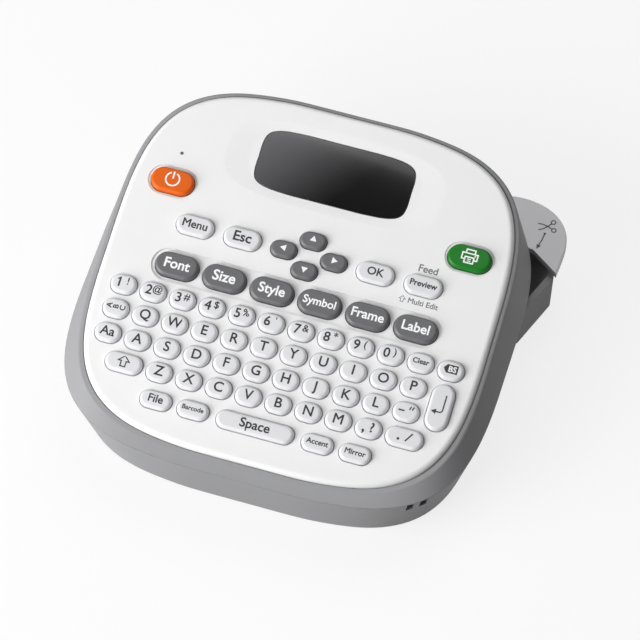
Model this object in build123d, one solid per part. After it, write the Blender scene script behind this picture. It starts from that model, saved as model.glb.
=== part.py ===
"""Desktop label maker with a keyboard, a tape cassette and a hand cutter.

Every piece is built in one frame in millimetres: +X to the right, +Y to the back, +Z up,
with the table at Z = 0. The sizes below count X from the middle of the case, and the last lines
move every piece so that the origin is under the middle of the whole object, lever included.
"""
import os
from math import acos, atan2, cos, degrees, hypot, pi, radians, sin, tan

from build123d import *

# Driving sizes of the body
KEY_PITCH = 11.0
ROW_PITCH = 9.33
PANEL_SLOPE = 12.0
PANEL_HALF_WIDTH = 71.1
PANEL_HALF_DEPTH = 67.3
PANEL_THICKNESS = 2.35
PANEL_EDGE_ROUND = 1.9
OUTLINE_EXPONENT = 3.65
QUARTER_STEPS = 8
FOOT_HEIGHT = 1.0
PARTING_HEIGHT = 28.0
FRONT_RISE = 3.3
RIM_WIDTH = 6.7
RIM_DEPTH = 5.7
BASE_INSET = 5.6
WALL = 2.2
FLOOR = 3.0

# Rim of the upper case around the panel
PANEL_GAP = 0.3
LEDGE_WIDTH = 1.5
LEDGE_DROP = 1.7
LEDGE_ROUND = 1.1
SEAT_WIDTH = 3.0
SEAT_THICKNESS = 2.0
PARTING_GROOVE = 0.35
PARTING_GROOVE_DEPTH = 0.8

# Keys, in the plane of the panel
KEY_LENGTH = 9.6
KEY_DEPTH = 7.2
KEY_RISE = 1.7
KEY_ROUND = 1.3
KEY_GAP = 0.3
KEY_FLANGE = 0.55
KEY_FLANGE_THICKNESS = 1.0
KEY_FLANGE_GAP = 0.3
KEY_TRAVEL = 1.2
KEY_GRID_CENTRE = -29.6
COLUMN_COUNT = 12
SHIFT_LENGTH = 13.7
SHIFT_CENTRE = 51.6
ENTER_LENGTH = 17.3
ENTER_DEPTH = 8.4
BOTTOM_ROW = -53.75
BOTTOM_KEY_LENGTH = 11.6
BOTTOM_KEY_DEPTH = 6.5
BOTTOM_KEY_PLACES = (36.6, 22.85)
SPACE_LENGTH = 28.4
SPACE_DEPTH = 6.8
FUNCTION_ROW = -4.0
FUNCTION_PITCH = 17.7
FUNCTION_LENGTH = 16.0
FUNCTION_DEPTH = 9.2
FUNCTION_MARGIN = 1.5
FUNCTION_RECESS = 0.5
EDIT_ROW = 12.1
MENU_LENGTH = 13.9
MENU_DEPTH = 7.6
MENU_PLACES = (42.4, 24.7)
ARROW_LENGTH = 9.7
ARROW_DEPTH = 6.4
ARROW_SIDE = 9.3
ARROW_UP = 5.8
BIG_KEY_PLACE = (55.35, 26.4)
BIG_KEY_MARGIN = 1.1
BIG_KEY_RECESS = 0.4

# Display
WINDOW_HALF_WIDTH = 28.4
WINDOW_HALF_DEPTH = 11.8
WINDOW_CENTRE = 44.5
WINDOW_EXPONENT = 5.5
WINDOW_FLANGE = 1.5
WINDOW_FLANGE_THICKNESS = 0.8
WINDOW_PROUD = 0.1
BASIN_HALF_WIDTH = 40.4
BASIN_HALF_DEPTH = 15.4
BASIN_EXPONENT = 3.2
BASIN_SLOPE = 3.4
BASIN_SIDE_SLOPE = 9.0
BASIN_DROP = 0.5
LED_PLACE = (-55.4, 37.7)
LED_RADIUS = 0.5
LED_GAP = 0.15
DISPLAY_HALF_WIDTH = 33.0
DISPLAY_HALF_DEPTH = 14.0
DISPLAY_TOP = 3.4

# Key mat and circuit board, behind the panel
MAT_GAP = 0.15
MAT_THICKNESS = 1.5
MAT_HALF_WIDTH = 62.0
MAT_FRONT = -58.0
MAT_BACK = 18.0
MAT_EAR_INNER = 45.0
MAT_EAR_BACK = 33.0
MAT_CORNER = 4.0
BOARD_THICKNESS = 1.6
BOARD_HALF_WIDTH = 61.0
BOARD_HALF_DEPTH = 60.0
BOSS_RADIUS = 2.0
BOSS_GAP = 0.5
BOSS_PLACES = ((-38.4, 41.0), (38.4, 41.0), (-46.5, -52.0), (46.5, -52.0))

# Case screws and feet
POST_RADIUS = 3.2
POST_PLACES = ((-65.5, -30.0), (65.5, -30.0), (-64.5, 34.0), (66.0, 4.0))
SCREW_RADIUS = 1.4
SCREW_GAP = 0.3
SCREW_PILOT_GAP = 0.05
SCREW_HEAD_RADIUS = 2.4
SCREW_HEAD = 2.0
SCREW_SEAT = 8.0
SCREW_BITE = 6.0
FOOT_RADIUS = 4.5
FOOT_SINK = 0.6
FOOT_PLACES = ((-54.0, -44.0), (54.0, -44.0), (-54.0, 42.0), (54.0, 36.0))

# Bottom cover, tape well and battery bay
COVER_HALF_WIDTH = 47.0
COVER_FRONT = -58.0
COVER_THICKNESS = 1.8
COVER_GAP = 0.35
HINGE_Y = 57.6
HINGE_RADIUS = 1.5
HINGE_PIN_RADIUS = 0.9
HINGE_PIN_LENGTH = 2.5
HINGE_FIT = 0.07
RIB = 1.5
WELL_TOP = 26.6
CASSETTE_LEFT = -34.0
CASSETTE_RIGHT = 43.0
CASSETTE_FRONT = 1.0
CASSETTE_BACK = 53.2
CASSETTE_BOTTOM = 3.4
CASSETTE_TOP = 24.0
CASSETTE_WALL = 1.2
CASSETTE_CORNER = 3.0
CASSETTE_GAP = 0.5
BATTERY_COUNT = 6
BATTERY_RADIUS = 5.25
BATTERY_LENGTH = 44.5
BATTERY_PITCH = 10.9
BATTERY_TIP_RADIUS = 1.9
BATTERY_TIP = 0.8
BATTERY_FRONT = -54.6
BAY_GAP = 0.6
CONTACT_THICKNESS = 0.5
CONTACT_SPRING = 2.2
CONTACT_HALF_WIDTH = 4.0

# Tape path, print head and cutter
TAPE_Y = 47.0
TAPE_THICKNESS = 0.2
TAPE_WIDTH = 12.0
TAPE_CLEAR = 1.0
TAPE_MIDDLE = 13.0
ROLLER_OVERHANG = 0.5
TAPE_ROLL_CENTRE = (-11.0, 27.2)
TAPE_ROLL_GAP = 0.5
TAPE_CORE_RADIUS = 8.0
SPOOL_RADIUS = 8.6
SPOOL_HUB_RADIUS = 3.4
SPOOL_FLANGE = 1.0
SUPPLY_CENTRE = (29.0, 12.0)
HEAD_HALF_LENGTH = 3.0
HEAD_DEPTH = 3.6
HEAD_GAP = 0.3
HEAD_FIN = 0.8
PLATEN_X = 49.5
PLATEN_RADIUS = 3.0
PLATEN_GAP = 0.3
PLATEN_SHAFT_RADIUS = 1.0
RUNNING_FIT = 0.05
HOLDER_PIVOT = (41.0, 56.6)
HOLDER_TUBE_RADIUS = 2.4
HOLDER_PIN_RADIUS = 1.2
HOLDER_ARM_WIDTH = 4.0
HOLDER_ARM = 1.0
HOLDER_TOP = 22.2
CUT_X = 56.0
BLADE_THICKNESS = 0.9
BLADE_GAP = 0.06
BLADE_BACK = 52.4
BLADE_CLEAR = 1.2
BLADE_BOTTOM = 4.2
BLADE_TOP = 21.6
BLADE_SKEW = 0.8
FIXED_BLADE_DEPTH = 8.0
FIXED_BLADE_FOOT = 8.0
FIXED_BLADE_BEVEL = 2.0
RAIL_FRONT = 5.0
CARRIAGE_BOTTOM = 15.5
CARRIAGE_HALF_WIDTH = 2.4
CARRIAGE_FRONT = 51.0
CARRIAGE_BACK = 56.3
EXIT_HALF_WIDTH = 2.6
EXIT_BOTTOM = 5.0
EXIT_TOP = 21.5

# Cutter lever at the rear right corner
LEVER_PIVOT = (38.0, 61.6)
LEVER_PIN_RADIUS = 1.5
LEVER_HUB_RADIUS = 3.4
LEVER_BOTTOM = 22.8
LEVER_THICKNESS = 3.0
LEVER_ROUND = 0.8
LEVER_SLOT_GAP = 0.5
LEVER_SWING = 10.0
LEVER_INNER = 52.0
LEVER_BAR_HALF_WIDTH = 2.6
LEVER_PEG = (55.0, 54.2)
LEVER_PEG_RADIUS = 1.4
LEVER_PEG_LENGTH = 2.9
LEVER_PEG_GAP = 0.35
LEVER_BACK_CURVE = ((57.0, 70.4), (66.0, 71.4), (79.4, 66.0), (83.4, 59.5), (84.2, 51.4), (83.7, 43.6))
LEVER_FRONT_EDGE = ((73.0, 51.0), (62.0, 52.4), (53.2, 52.4))

# Tape chute under the lever
CHUTE_ROOT = (75.4, 24.3)
CHUTE_TIP = (82.6, 43.2)
CHUTE_THICKNESS = 2.2
CHUTE_INSIDE_X = 50.0
CHUTE_BOTTOM = 4.5
CHUTE_TOP = 22.4
CHUTE_FLOOR = 1.5
CHUTE_BACK_CORNER = (80.0, 61.0)
STRAP_SLOT_WIDTH = 2.8
STRAP_SLOT_HEIGHT = 7.0
STRAP_SLOT_PITCH = 5.0
STRAP_SLOT_TOP = 27.2
STRAP_PLACE = (60.5, -58.5)
STRAP_TURN = 35.0

# Drive train on the chassis
CHASSIS_THICKNESS = 1.6
CHASSIS_GAP = 1.0
GEAR_MODULE = 0.6
GEAR_BACKLASH = 0.14
PRESSURE_ANGLE = 20.0
GEAR_WIDTH = 2.6
GEAR_STEP = 0.4
PINION_TEETH = 16
IDLER_TEETH = 42
IDLER_SMALL_TEETH = 20
PLATEN_TEETH = 38
SPINDLE_TEETH = 27
IDLER_DIRECTION = -83.5
MOTOR_DIRECTION = -69.0
SPINDLE_DIRECTION = 180.0
IDLER_PIN_RADIUS = 1.5
MOTOR_RADIUS = 9.6
MOTOR_BOTTOM = 5.0
MOTOR_SHAFT_RADIUS = 1.0
SPINDLE_RADIUS = 2.4
FLANK_STEPS = 4

# Power socket in the back wall
JACK_X = -44.0
JACK_Z = 17.0
JACK_RADIUS = 4.0
JACK_HOLE_GAP = 0.3
JACK_BORE_RADIUS = 2.8
JACK_BORE_DEPTH = 8.0
JACK_PIN_RADIUS = 1.0
JACK_BACK = 65.3
JACK_LENGTH = 14.0
JACK_BODY_HALF = 5.0
JACK_COLLAR = 6.0

# Values worked out from the driving sizes
BODY_HALF_WIDTH = PANEL_HALF_WIDTH + RIM_WIDTH
BODY_HALF_DEPTH = PANEL_HALF_DEPTH * cos(radians(PANEL_SLOPE)) + RIM_DEPTH
PANEL_CENTRE_HEIGHT = PARTING_HEIGHT + FRONT_RISE + PANEL_HALF_DEPTH * sin(radians(PANEL_SLOPE))
PANEL_FRAME = Location((0, 0, PANEL_CENTRE_HEIGHT), (PANEL_SLOPE, 0, 0))
FLOOR_TOP = FOOT_HEIGHT + FLOOR
KEY_FOOT = -PANEL_THICKNESS - KEY_FLANGE_GAP - KEY_FLANGE_THICKNESS
MAT_TOP = KEY_FOOT - KEY_TRAVEL - MAT_GAP
BOARD_TOP = MAT_TOP - MAT_THICKNESS
CHASSIS_TOP = WELL_TOP + CHASSIS_THICKNESS
GEAR_LOW = CHASSIS_TOP + CHASSIS_GAP
GEAR_HIGH = GEAR_LOW + GEAR_WIDTH + GEAR_STEP
GEAR_TOP = GEAR_HIGH + GEAR_WIDTH
HOLDER_LOW = FLOOR_TOP + RIB / 4
PLATEN_CENTRE = (PLATEN_X, TAPE_Y + TAPE_THICKNESS / 2 + PLATEN_GAP + PLATEN_RADIUS)
TAPE_ROLL_RADIUS = TAPE_Y - TAPE_THICKNESS / 2 - TAPE_ROLL_GAP - TAPE_ROLL_CENTRE[1]
ORIGIN_X = (max(x for x, y in LEVER_BACK_CURVE) - BODY_HALF_WIDTH) / 2
TALL = 200.0


def gear_distance(teeth, other_teeth):
    """Distance between the axes of two gears in mesh."""
    return GEAR_MODULE * (teeth + other_teeth) / 2


def place_at(origin, direction, distance):
    """A point at a distance from another, along a direction in degrees."""
    angle = radians(direction)
    return origin[0] + distance * cos(angle), origin[1] + distance * sin(angle)


IDLER_CENTRE = place_at(PLATEN_CENTRE, IDLER_DIRECTION, gear_distance(IDLER_SMALL_TEETH, PLATEN_TEETH))
MOTOR_CENTRE = place_at(IDLER_CENTRE, MOTOR_DIRECTION, gear_distance(IDLER_TEETH, PINION_TEETH))
SPINDLE_CENTRE = place_at(IDLER_CENTRE, SPINDLE_DIRECTION, gear_distance(IDLER_TEETH, SPINDLE_TEETH))


# Shared shapes

def quarter_outline(half_width, half_depth, exponent):
    """A quarter of a superellipse, from the right-hand side to the back."""
    points = []
    for step in range(QUARTER_STEPS + 1):
        angle = pi / 2 * step / QUARTER_STEPS
        points.append((half_width * cos(angle) ** (2 / exponent), half_depth * sin(angle) ** (2 / exponent)))
    points[-1] = (0, half_depth)
    return Spline(*points, tangents=((0, 1), (-1, 0)))


def outline(half_width, half_depth, exponent=OUTLINE_EXPONENT):
    """A face with the body's outline: a superellipse, flatter than an ellipse on its four sides."""
    right_back = quarter_outline(half_width, half_depth, exponent)
    left_back = mirror(right_back, Plane.YZ)
    back = [right_back, left_back]
    return make_face(back + [mirror(edge, Plane.XZ) for edge in back])


def case_half_sizes(height, inset=0.0):
    """Half width and half depth of the lower case at a height above the table."""
    below = (PARTING_HEIGHT - height) / (PARTING_HEIGHT - FOOT_HEIGHT)
    lost = BASE_INSET * below + inset
    return BODY_HALF_WIDTH - lost, BODY_HALF_DEPTH - lost


def case_section(height, inset=0.0):
    """The lower case's outline at a height, drawn in by an inset."""
    return Pos(0, 0, height) * outline(*case_half_sizes(height, inset))


def case_solid(bottom, top, inset=0.0):
    """The drafted solid of the lower case between two heights."""
    return loft([case_section(bottom, inset), case_section(top, inset)], ruled=True)


def panel_section(grow, drop):
    """The panel's outline, grown or shrunk, at a depth below the panel's top face."""
    return PANEL_FRAME * Pos(0, 0, -drop) * outline(PANEL_HALF_WIDTH + grow, PANEL_HALF_DEPTH + grow)


def panel_prism(grow, top, bottom):
    """A solid with the panel's outline that stands square to the panel."""
    return extrude(panel_section(grow, -top), amount=bottom - top, dir=panel_normal())


def panel_normal():
    """The direction that points out of the panel's top face."""
    angle = radians(PANEL_SLOPE)
    return (0, -sin(angle), cos(angle))


def disc(centre, radius, bottom, top):
    """An upright cylinder between two heights."""
    return Pos(centre[0], centre[1], bottom) * extrude(Circle(radius), amount=top - bottom)


def block(low_x, high_x, low_y, high_y, low_z, high_z):
    """A box between two corners."""
    middle = Pos((low_x + high_x) / 2, (low_y + high_y) / 2, (low_z + high_z) / 2)
    return middle * Box(high_x - low_x, high_y - low_y, high_z - low_z)


def upright(points, bottom, top):
    """A prism on a plan outline of straight lines."""
    return Pos(0, 0, bottom) * extrude(make_face(Polyline(*points, close=True)), amount=top - bottom)


# Keys

def key_cap(length, depth):
    """An oblong key with a rounded top and a flange that keeps it behind the panel, standing on its own centre."""
    cap = Pos(0, 0, KEY_FOOT) * extrude(SlotOverall(length, depth), amount=KEY_RISE - KEY_FOOT)
    cap = fillet(cap.edges().group_by(Axis.Z)[-1], KEY_ROUND)
    flange = SlotOverall(length + 2 * KEY_FLANGE, depth + 2 * KEY_FLANGE)
    return cap + Pos(0, 0, KEY_FOOT) * extrude(flange, amount=KEY_FLANGE_THICKNESS)


def key_hole(length, depth, place, turn=0):
    """The opening in the panel that a key runs in."""
    hole = SlotOverall(length + 2 * KEY_GAP, depth + 2 * KEY_GAP)
    return Pos(place[0], place[1], -TALL / 2) * Rot(0, 0, turn) * extrude(hole, amount=TALL)


def key_room(length, depth, place, turn=0):
    """The space under the panel that a key's flange moves in."""
    reach = 2 * (KEY_FLANGE + KEY_GAP)
    bottom = KEY_FOOT - KEY_TRAVEL - KEY_GAP
    room = extrude(SlotOverall(length + reach, depth + reach), amount=-PANEL_THICKNESS - bottom)
    return Pos(place[0], place[1], bottom) * Rot(0, 0, turn) * room


def column(index):
    """Place of a key column across the panel."""
    return (index - (COLUMN_COUNT - 1) / 2) * KEY_PITCH


def row(index):
    """Place of a key row along the panel, counted from the number row to the front."""
    return KEY_GRID_CENTRE + (1.5 - index) * ROW_PITCH


def key_groups():
    """Every key node: its name, cap length and depth, turn and the places of its caps."""
    letter = (KEY_LENGTH, KEY_DEPTH, 0)
    shift = (SHIFT_LENGTH, KEY_DEPTH, 0)
    bottom = (BOTTOM_KEY_LENGTH, BOTTOM_KEY_DEPTH, 0)
    menu = (MENU_LENGTH, MENU_DEPTH, 0)
    arrow = (ARROW_LENGTH, ARROW_DEPTH, 0)
    big = (FUNCTION_LENGTH, FUNCTION_DEPTH, 0)
    groups = {
        "power_key": (big, [(-BIG_KEY_PLACE[0], BIG_KEY_PLACE[1])]),
        "print_key": (big, [BIG_KEY_PLACE]),
        "menu_key": (menu, [(-MENU_PLACES[0], EDIT_ROW)]),
        "escape_key": (menu, [(-MENU_PLACES[1], EDIT_ROW)]),
        "ok_key": (menu, [(MENU_PLACES[1], EDIT_ROW)]),
        "preview_key": (menu, [(MENU_PLACES[0], EDIT_ROW)]),
        "left_key": (arrow, [(-ARROW_SIDE, EDIT_ROW)]),
        "right_key": (arrow, [(ARROW_SIDE, EDIT_ROW)]),
        "up_key": (arrow, [(0, EDIT_ROW + ARROW_UP)]),
        "down_key": (arrow, [(0, EDIT_ROW - ARROW_UP)]),
        "enter_key": ((ENTER_LENGTH, ENTER_DEPTH, 90), [(column(11), row(1.5))]),
        "shift_key": (shift, [(-SHIFT_CENTRE, row(3))]),
        "stop_key": (shift, [(SHIFT_CENTRE, row(3))]),
        "space_key": ((SPACE_LENGTH, SPACE_DEPTH, 0), [(0, BOTTOM_ROW)]),
        "file_key": (bottom, [(-BOTTOM_KEY_PLACES[0], BOTTOM_ROW)]),
        "barcode_key": (bottom, [(-BOTTOM_KEY_PLACES[1], BOTTOM_ROW)]),
        "accent_key": (bottom, [(BOTTOM_KEY_PLACES[1], BOTTOM_ROW)]),
        "mirror_key": (bottom, [(BOTTOM_KEY_PLACES[0], BOTTOM_ROW)]),
        "number_row_keys": (letter, [(column(i), row(0)) for i in range(12)]),
        "upper_row_keys": (letter, [(column(i), row(1)) for i in range(11)]),
        "home_row_keys": (letter, [(column(i), row(2)) for i in range(11)]),
        "lower_row_keys": (letter, [(column(i), row(3)) for i in range(2, 10)]),
    }
    for index, name in enumerate(("font", "size", "style", "symbol", "frame", "label")):
        groups[name + "_key"] = (big, [((index - 2.5) * FUNCTION_PITCH, FUNCTION_ROW)])
    return groups


def key_nodes():
    """The key caps of every key node, on the panel."""
    nodes = {}
    for name, ((length, depth, turn), places) in key_groups().items():
        cap = Rot(0, 0, turn) * key_cap(length, depth)
        caps = [PANEL_FRAME * Pos(x, y, 0) * cap for x, y in places]
        nodes[name] = caps[0] if len(caps) == 1 else Compound(children=caps)
    return nodes


# Face panel, display and board

def recess(half_length, half_depth, place, drop):
    """A shallow oblong recess in the panel's top face, to be cut away."""
    shape = SlotOverall(2 * half_length, 2 * half_depth)
    return Pos(place[0], place[1], -drop) * extrude(shape, amount=TALL)


def basin():
    """The dished area round the display window, to be cut away."""
    rim = outline(BASIN_HALF_WIDTH, BASIN_HALF_DEPTH, BASIN_EXPONENT)
    floor = outline(BASIN_HALF_WIDTH - BASIN_SIDE_SLOPE, BASIN_HALF_DEPTH - BASIN_SLOPE, BASIN_EXPONENT)
    dish = loft([Pos(0, 0, -BASIN_DROP) * floor, rim], ruled=True)
    return Pos(0, WINDOW_CENTRE, 0) * dish


def window_shape(grow, bottom, top):
    """The display window's outline as a solid."""
    shape = outline(WINDOW_HALF_WIDTH + grow, WINDOW_HALF_DEPTH + grow, WINDOW_EXPONENT)
    return Pos(0, WINDOW_CENTRE, bottom) * extrude(shape, amount=top - bottom)


def face_panel():
    """The white panel: a thin plate with a rolled edge, key openings and shallow recesses."""
    plate = extrude(outline(PANEL_HALF_WIDTH, PANEL_HALF_DEPTH), amount=-PANEL_THICKNESS)
    plate = fillet(plate.edges().group_by(Axis.Z)[-1], PANEL_EDGE_ROUND)
    plate -= basin()
    strip_half_length = 2.5 * FUNCTION_PITCH + FUNCTION_LENGTH / 2 + FUNCTION_MARGIN
    strip_half_depth = FUNCTION_DEPTH / 2 + FUNCTION_MARGIN
    plate -= recess(strip_half_length, strip_half_depth, (0, FUNCTION_ROW), FUNCTION_RECESS)
    ring_half_length = FUNCTION_LENGTH / 2 + BIG_KEY_MARGIN
    ring_half_depth = FUNCTION_DEPTH / 2 + BIG_KEY_MARGIN
    for side in (-1, 1):
        place = (side * BIG_KEY_PLACE[0], BIG_KEY_PLACE[1])
        plate -= recess(ring_half_length, ring_half_depth, place, BIG_KEY_RECESS)
    for (length, depth, turn), places in key_groups().values():
        plate -= [key_hole(length, depth, place, turn) for place in places]
    plate -= window_shape(PANEL_GAP / 2, -PANEL_THICKNESS - 1, 1)
    plate -= disc(LED_PLACE, LED_RADIUS + LED_GAP, -PANEL_THICKNESS - 1, 1)
    for place in BOSS_PLACES:
        plate += disc(place, BOSS_RADIUS, BOARD_TOP, -PANEL_THICKNESS)
    return PANEL_FRAME * plate


def display_window():
    """The clear window, with a flange that is bonded behind the panel."""
    top = WINDOW_PROUD - BASIN_DROP
    window = window_shape(-PANEL_GAP / 2, -PANEL_THICKNESS, top)
    window = fillet(window.edges().group_by(Axis.Z)[-1], WINDOW_PROUD)
    flange_bottom = -PANEL_THICKNESS - WINDOW_FLANGE_THICKNESS
    return PANEL_FRAME * (window + window_shape(WINDOW_FLANGE, flange_bottom, -PANEL_THICKNESS))


def display_module():
    """The display itself, a flat block on the circuit board behind the window."""
    low = WINDOW_CENTRE - DISPLAY_HALF_DEPTH
    high = WINDOW_CENTRE + DISPLAY_HALF_DEPTH
    return PANEL_FRAME * block(-DISPLAY_HALF_WIDTH, DISPLAY_HALF_WIDTH, low, high, BOARD_TOP, -DISPLAY_TOP)


def status_light():
    """A light pipe from the board to the panel."""
    return PANEL_FRAME * disc(LED_PLACE, LED_RADIUS, BOARD_TOP, 0)


def key_mat():
    """The rubber sheet under the keys, cut back round the display."""
    width = 2 * MAT_HALF_WIDTH
    sheet = Pos(0, (MAT_FRONT + MAT_BACK) / 2) * RectangleRounded(width, MAT_BACK - MAT_FRONT, MAT_CORNER)
    ear_width = MAT_HALF_WIDTH - MAT_EAR_INNER
    for side in (-1, 1):
        ear_middle = side * (MAT_HALF_WIDTH + MAT_EAR_INNER) / 2
        ear_back = (MAT_EAR_BACK + FUNCTION_ROW) / 2
        ear = RectangleRounded(ear_width, MAT_EAR_BACK - FUNCTION_ROW, MAT_CORNER)
        sheet += Pos(ear_middle, ear_back) * ear
    sheet = sheet & outline(PANEL_HALF_WIDTH - 2 * SEAT_WIDTH, PANEL_HALF_DEPTH - 2 * SEAT_WIDTH)
    mat = Pos(0, 0, BOARD_TOP) * extrude(sheet, amount=MAT_THICKNESS)
    for place in BOSS_PLACES:
        mat -= disc(place, BOSS_RADIUS + BOSS_GAP, BOARD_TOP - 1, MAT_TOP + 1)
    return PANEL_FRAME * mat


def main_board():
    """The circuit board, held against the panel's bosses."""
    board = extrude(outline(BOARD_HALF_WIDTH, BOARD_HALF_DEPTH), amount=-BOARD_THICKNESS)
    return PANEL_FRAME * Pos(0, 0, BOARD_TOP) * board


# Case

def upper_solid(inset):
    """The solid between the parting line and the tilted rim, drawn in by an inset."""
    low = Pos(0, 0, PARTING_HEIGHT) * outline(BODY_HALF_WIDTH - inset, BODY_HALF_DEPTH - inset)
    high = panel_section(PANEL_GAP + LEDGE_WIDTH - inset, LEDGE_DROP)
    return loft([low, high], ruled=True)


def below_panel(drop):
    """A block that fills everything below a plane parallel to the panel."""
    return PANEL_FRAME * Pos(0, 0, -drop - TALL / 2) * Box(2 * TALL, 2 * TALL, TALL)


def upper_case():
    """The wedge-shaped upper case with the rim and seat that hold the panel."""
    shell = upper_solid(0)
    rim_edges = shell.faces().sort_by(Axis.Z)[-1].edges()
    shell = fillet(rim_edges, LEDGE_ROUND)
    hollow = upper_solid(WALL) & below_panel(PANEL_THICKNESS + SEAT_THICKNESS)
    posts = Part()
    for place in POST_PLACES:
        posts += disc(place, POST_RADIUS, PARTING_HEIGHT, PARTING_HEIGHT + TALL)
    posts = posts & upper_solid(WALL / 2) & below_panel(PANEL_THICKNESS + SEAT_THICKNESS / 2)
    shell -= hollow
    shell += posts
    shell -= panel_prism(PANEL_GAP, 1, -PANEL_THICKNESS)
    shell -= panel_prism(-SEAT_WIDTH, 1, -PANEL_THICKNESS - SEAT_THICKNESS)
    for (length, depth, turn), places in key_groups().values():
        outer_places = [place for place in places if abs(place[0]) > MAT_HALF_WIDTH - KEY_PITCH / 2]
        shell -= [PANEL_FRAME * key_room(length, depth, place, turn) for place in outer_places]
    for place in POST_PLACES:
        pilot = SCREW_RADIUS + SCREW_PILOT_GAP
        shell -= disc(place, pilot, PARTING_HEIGHT - 1, PARTING_HEIGHT + SCREW_BITE)
    return shell


def cover_opening():
    """The recess that the cover closes, with its hinge groove and the mouths above it, to be cut away."""
    wide = COVER_HALF_WIDTH + COVER_GAP
    front = COVER_FRONT - COVER_GAP
    back = HINGE_Y + HINGE_RADIUS + COVER_GAP
    cover_top = FOOT_HEIGHT + COVER_THICKNESS
    barrel_front = HINGE_Y - HINGE_RADIUS - COVER_GAP
    barrel_top = FOOT_HEIGHT + 2 * HINGE_RADIUS + COVER_GAP
    opening = block(-wide, wide, front, back, 0, cover_top)
    opening += block(-wide, wide, barrel_front, back, 0, barrel_top)
    opening += block(*well_inside(), 0, FLOOR_TOP + 1)
    return opening + block(*bay_inside(), 0, FLOOR_TOP + 1)


def well_inside():
    """Left, right, front and back of the space round the tape cassette."""
    left = CASSETTE_LEFT - CASSETTE_GAP
    right = CASSETTE_RIGHT + CASSETTE_GAP
    return left, right, CASSETTE_FRONT - CASSETTE_GAP, CASSETTE_BACK + CASSETTE_GAP


def bay_inside():
    """Left, right, front and back of the space round the batteries and their contacts."""
    return -bay_half_width(), bay_half_width(), BATTERY_FRONT - CONTACT_THICKNESS, bay_back()


def bay_half_width():
    """Half the inside width of the battery bay."""
    return BATTERY_COUNT * BATTERY_PITCH / 2 + BAY_GAP


def bay_back():
    """The back of the battery bay's inside."""
    return BATTERY_FRONT + BATTERY_LENGTH + CONTACT_SPRING + CONTACT_THICKNESS


def bay_top():
    """The roof of the battery bay's inside."""
    return battery_height() + BATTERY_RADIUS + BAY_GAP


def battery_height():
    """Height of the battery axes above the table."""
    return FOOT_HEIGHT + COVER_THICKNESS + BAY_GAP + BATTERY_RADIUS


def battery_bay():
    """The walls and roof of the battery bay."""
    left, right, front, back = bay_inside()
    bay = block(left - RIB, right + RIB, front - RIB, back + RIB, FLOOR_TOP - RIB / 2, bay_top() + RIB)
    return bay - block(left, right, front, back, 0, bay_top())


def tape_well():
    """The walls round the tape cassette, open on the right where the tape leaves."""
    left, right, front, back = well_inside()
    low = FLOOR_TOP - RIB / 2
    head_front = TAPE_Y - TAPE_THICKNESS - HEAD_GAP - HEAD_DEPTH - RIB
    holder_left = HOLDER_PIVOT[0] - HOLDER_TUBE_RADIUS - RIB
    walls = block(left - RIB, left, front - RIB, back + RIB, low, WELL_TOP)
    walls += block(left - RIB, right + RIB, front - RIB, front, low, WELL_TOP)
    walls += block(left - RIB, holder_left, back, back + RIB, low, WELL_TOP)
    walls += block(right, right + RIB, front - RIB, head_front, low, WELL_TOP)
    return walls


def chute():
    """The guard at the tape exit: a slanting outer wall, a back wall and a floor, outside the case."""
    root_x, root_y = CHUTE_ROOT
    tip_x, tip_y = CHUTE_TIP
    length = hypot(tip_x - root_x, tip_y - root_y)
    back_x = -CHUTE_THICKNESS * (tip_y - root_y) / length
    back_y = CHUTE_THICKNESS * (tip_x - root_x) / length
    inner_tip = (tip_x + back_x, tip_y + back_y)
    inner_root = (root_x + back_x, root_y + back_y)
    wall = [CHUTE_ROOT, CHUTE_TIP, inner_tip, inner_root]
    wall += [(CHUTE_INSIDE_X, inner_root[1]), (CHUTE_INSIDE_X, root_y)]
    floor = [CHUTE_ROOT, CHUTE_TIP, CHUTE_BACK_CORNER]
    floor += [(CHUTE_INSIDE_X, CHUTE_BACK_CORNER[1]), (CHUTE_INSIDE_X, root_y)]
    corner_x, corner_y = CHUTE_BACK_CORNER
    guard = upright(wall, CHUTE_BOTTOM, CHUTE_TOP)
    guard += block(CHUTE_INSIDE_X, corner_x, corner_y - CHUTE_THICKNESS, corner_y, CHUTE_BOTTOM, CHUTE_TOP)
    return guard + upright(floor, CHUTE_BOTTOM - CHUTE_FLOOR, CHUTE_BOTTOM)


def strap_slots():
    """Two narrow slots for a wrist strap at the front right corner, to be cut away."""
    slots = Part()
    bottom = STRAP_SLOT_TOP - STRAP_SLOT_HEIGHT
    for side in (-1, 1):
        middle = side * STRAP_SLOT_PITCH / 2
        half = STRAP_SLOT_WIDTH / 2
        slot = block(middle - half, middle + half, -4 * WALL, 4 * WALL, bottom, STRAP_SLOT_TOP)
        slots += Pos(*STRAP_PLACE) * Rot(0, 0, STRAP_TURN) * slot
    return slots


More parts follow.
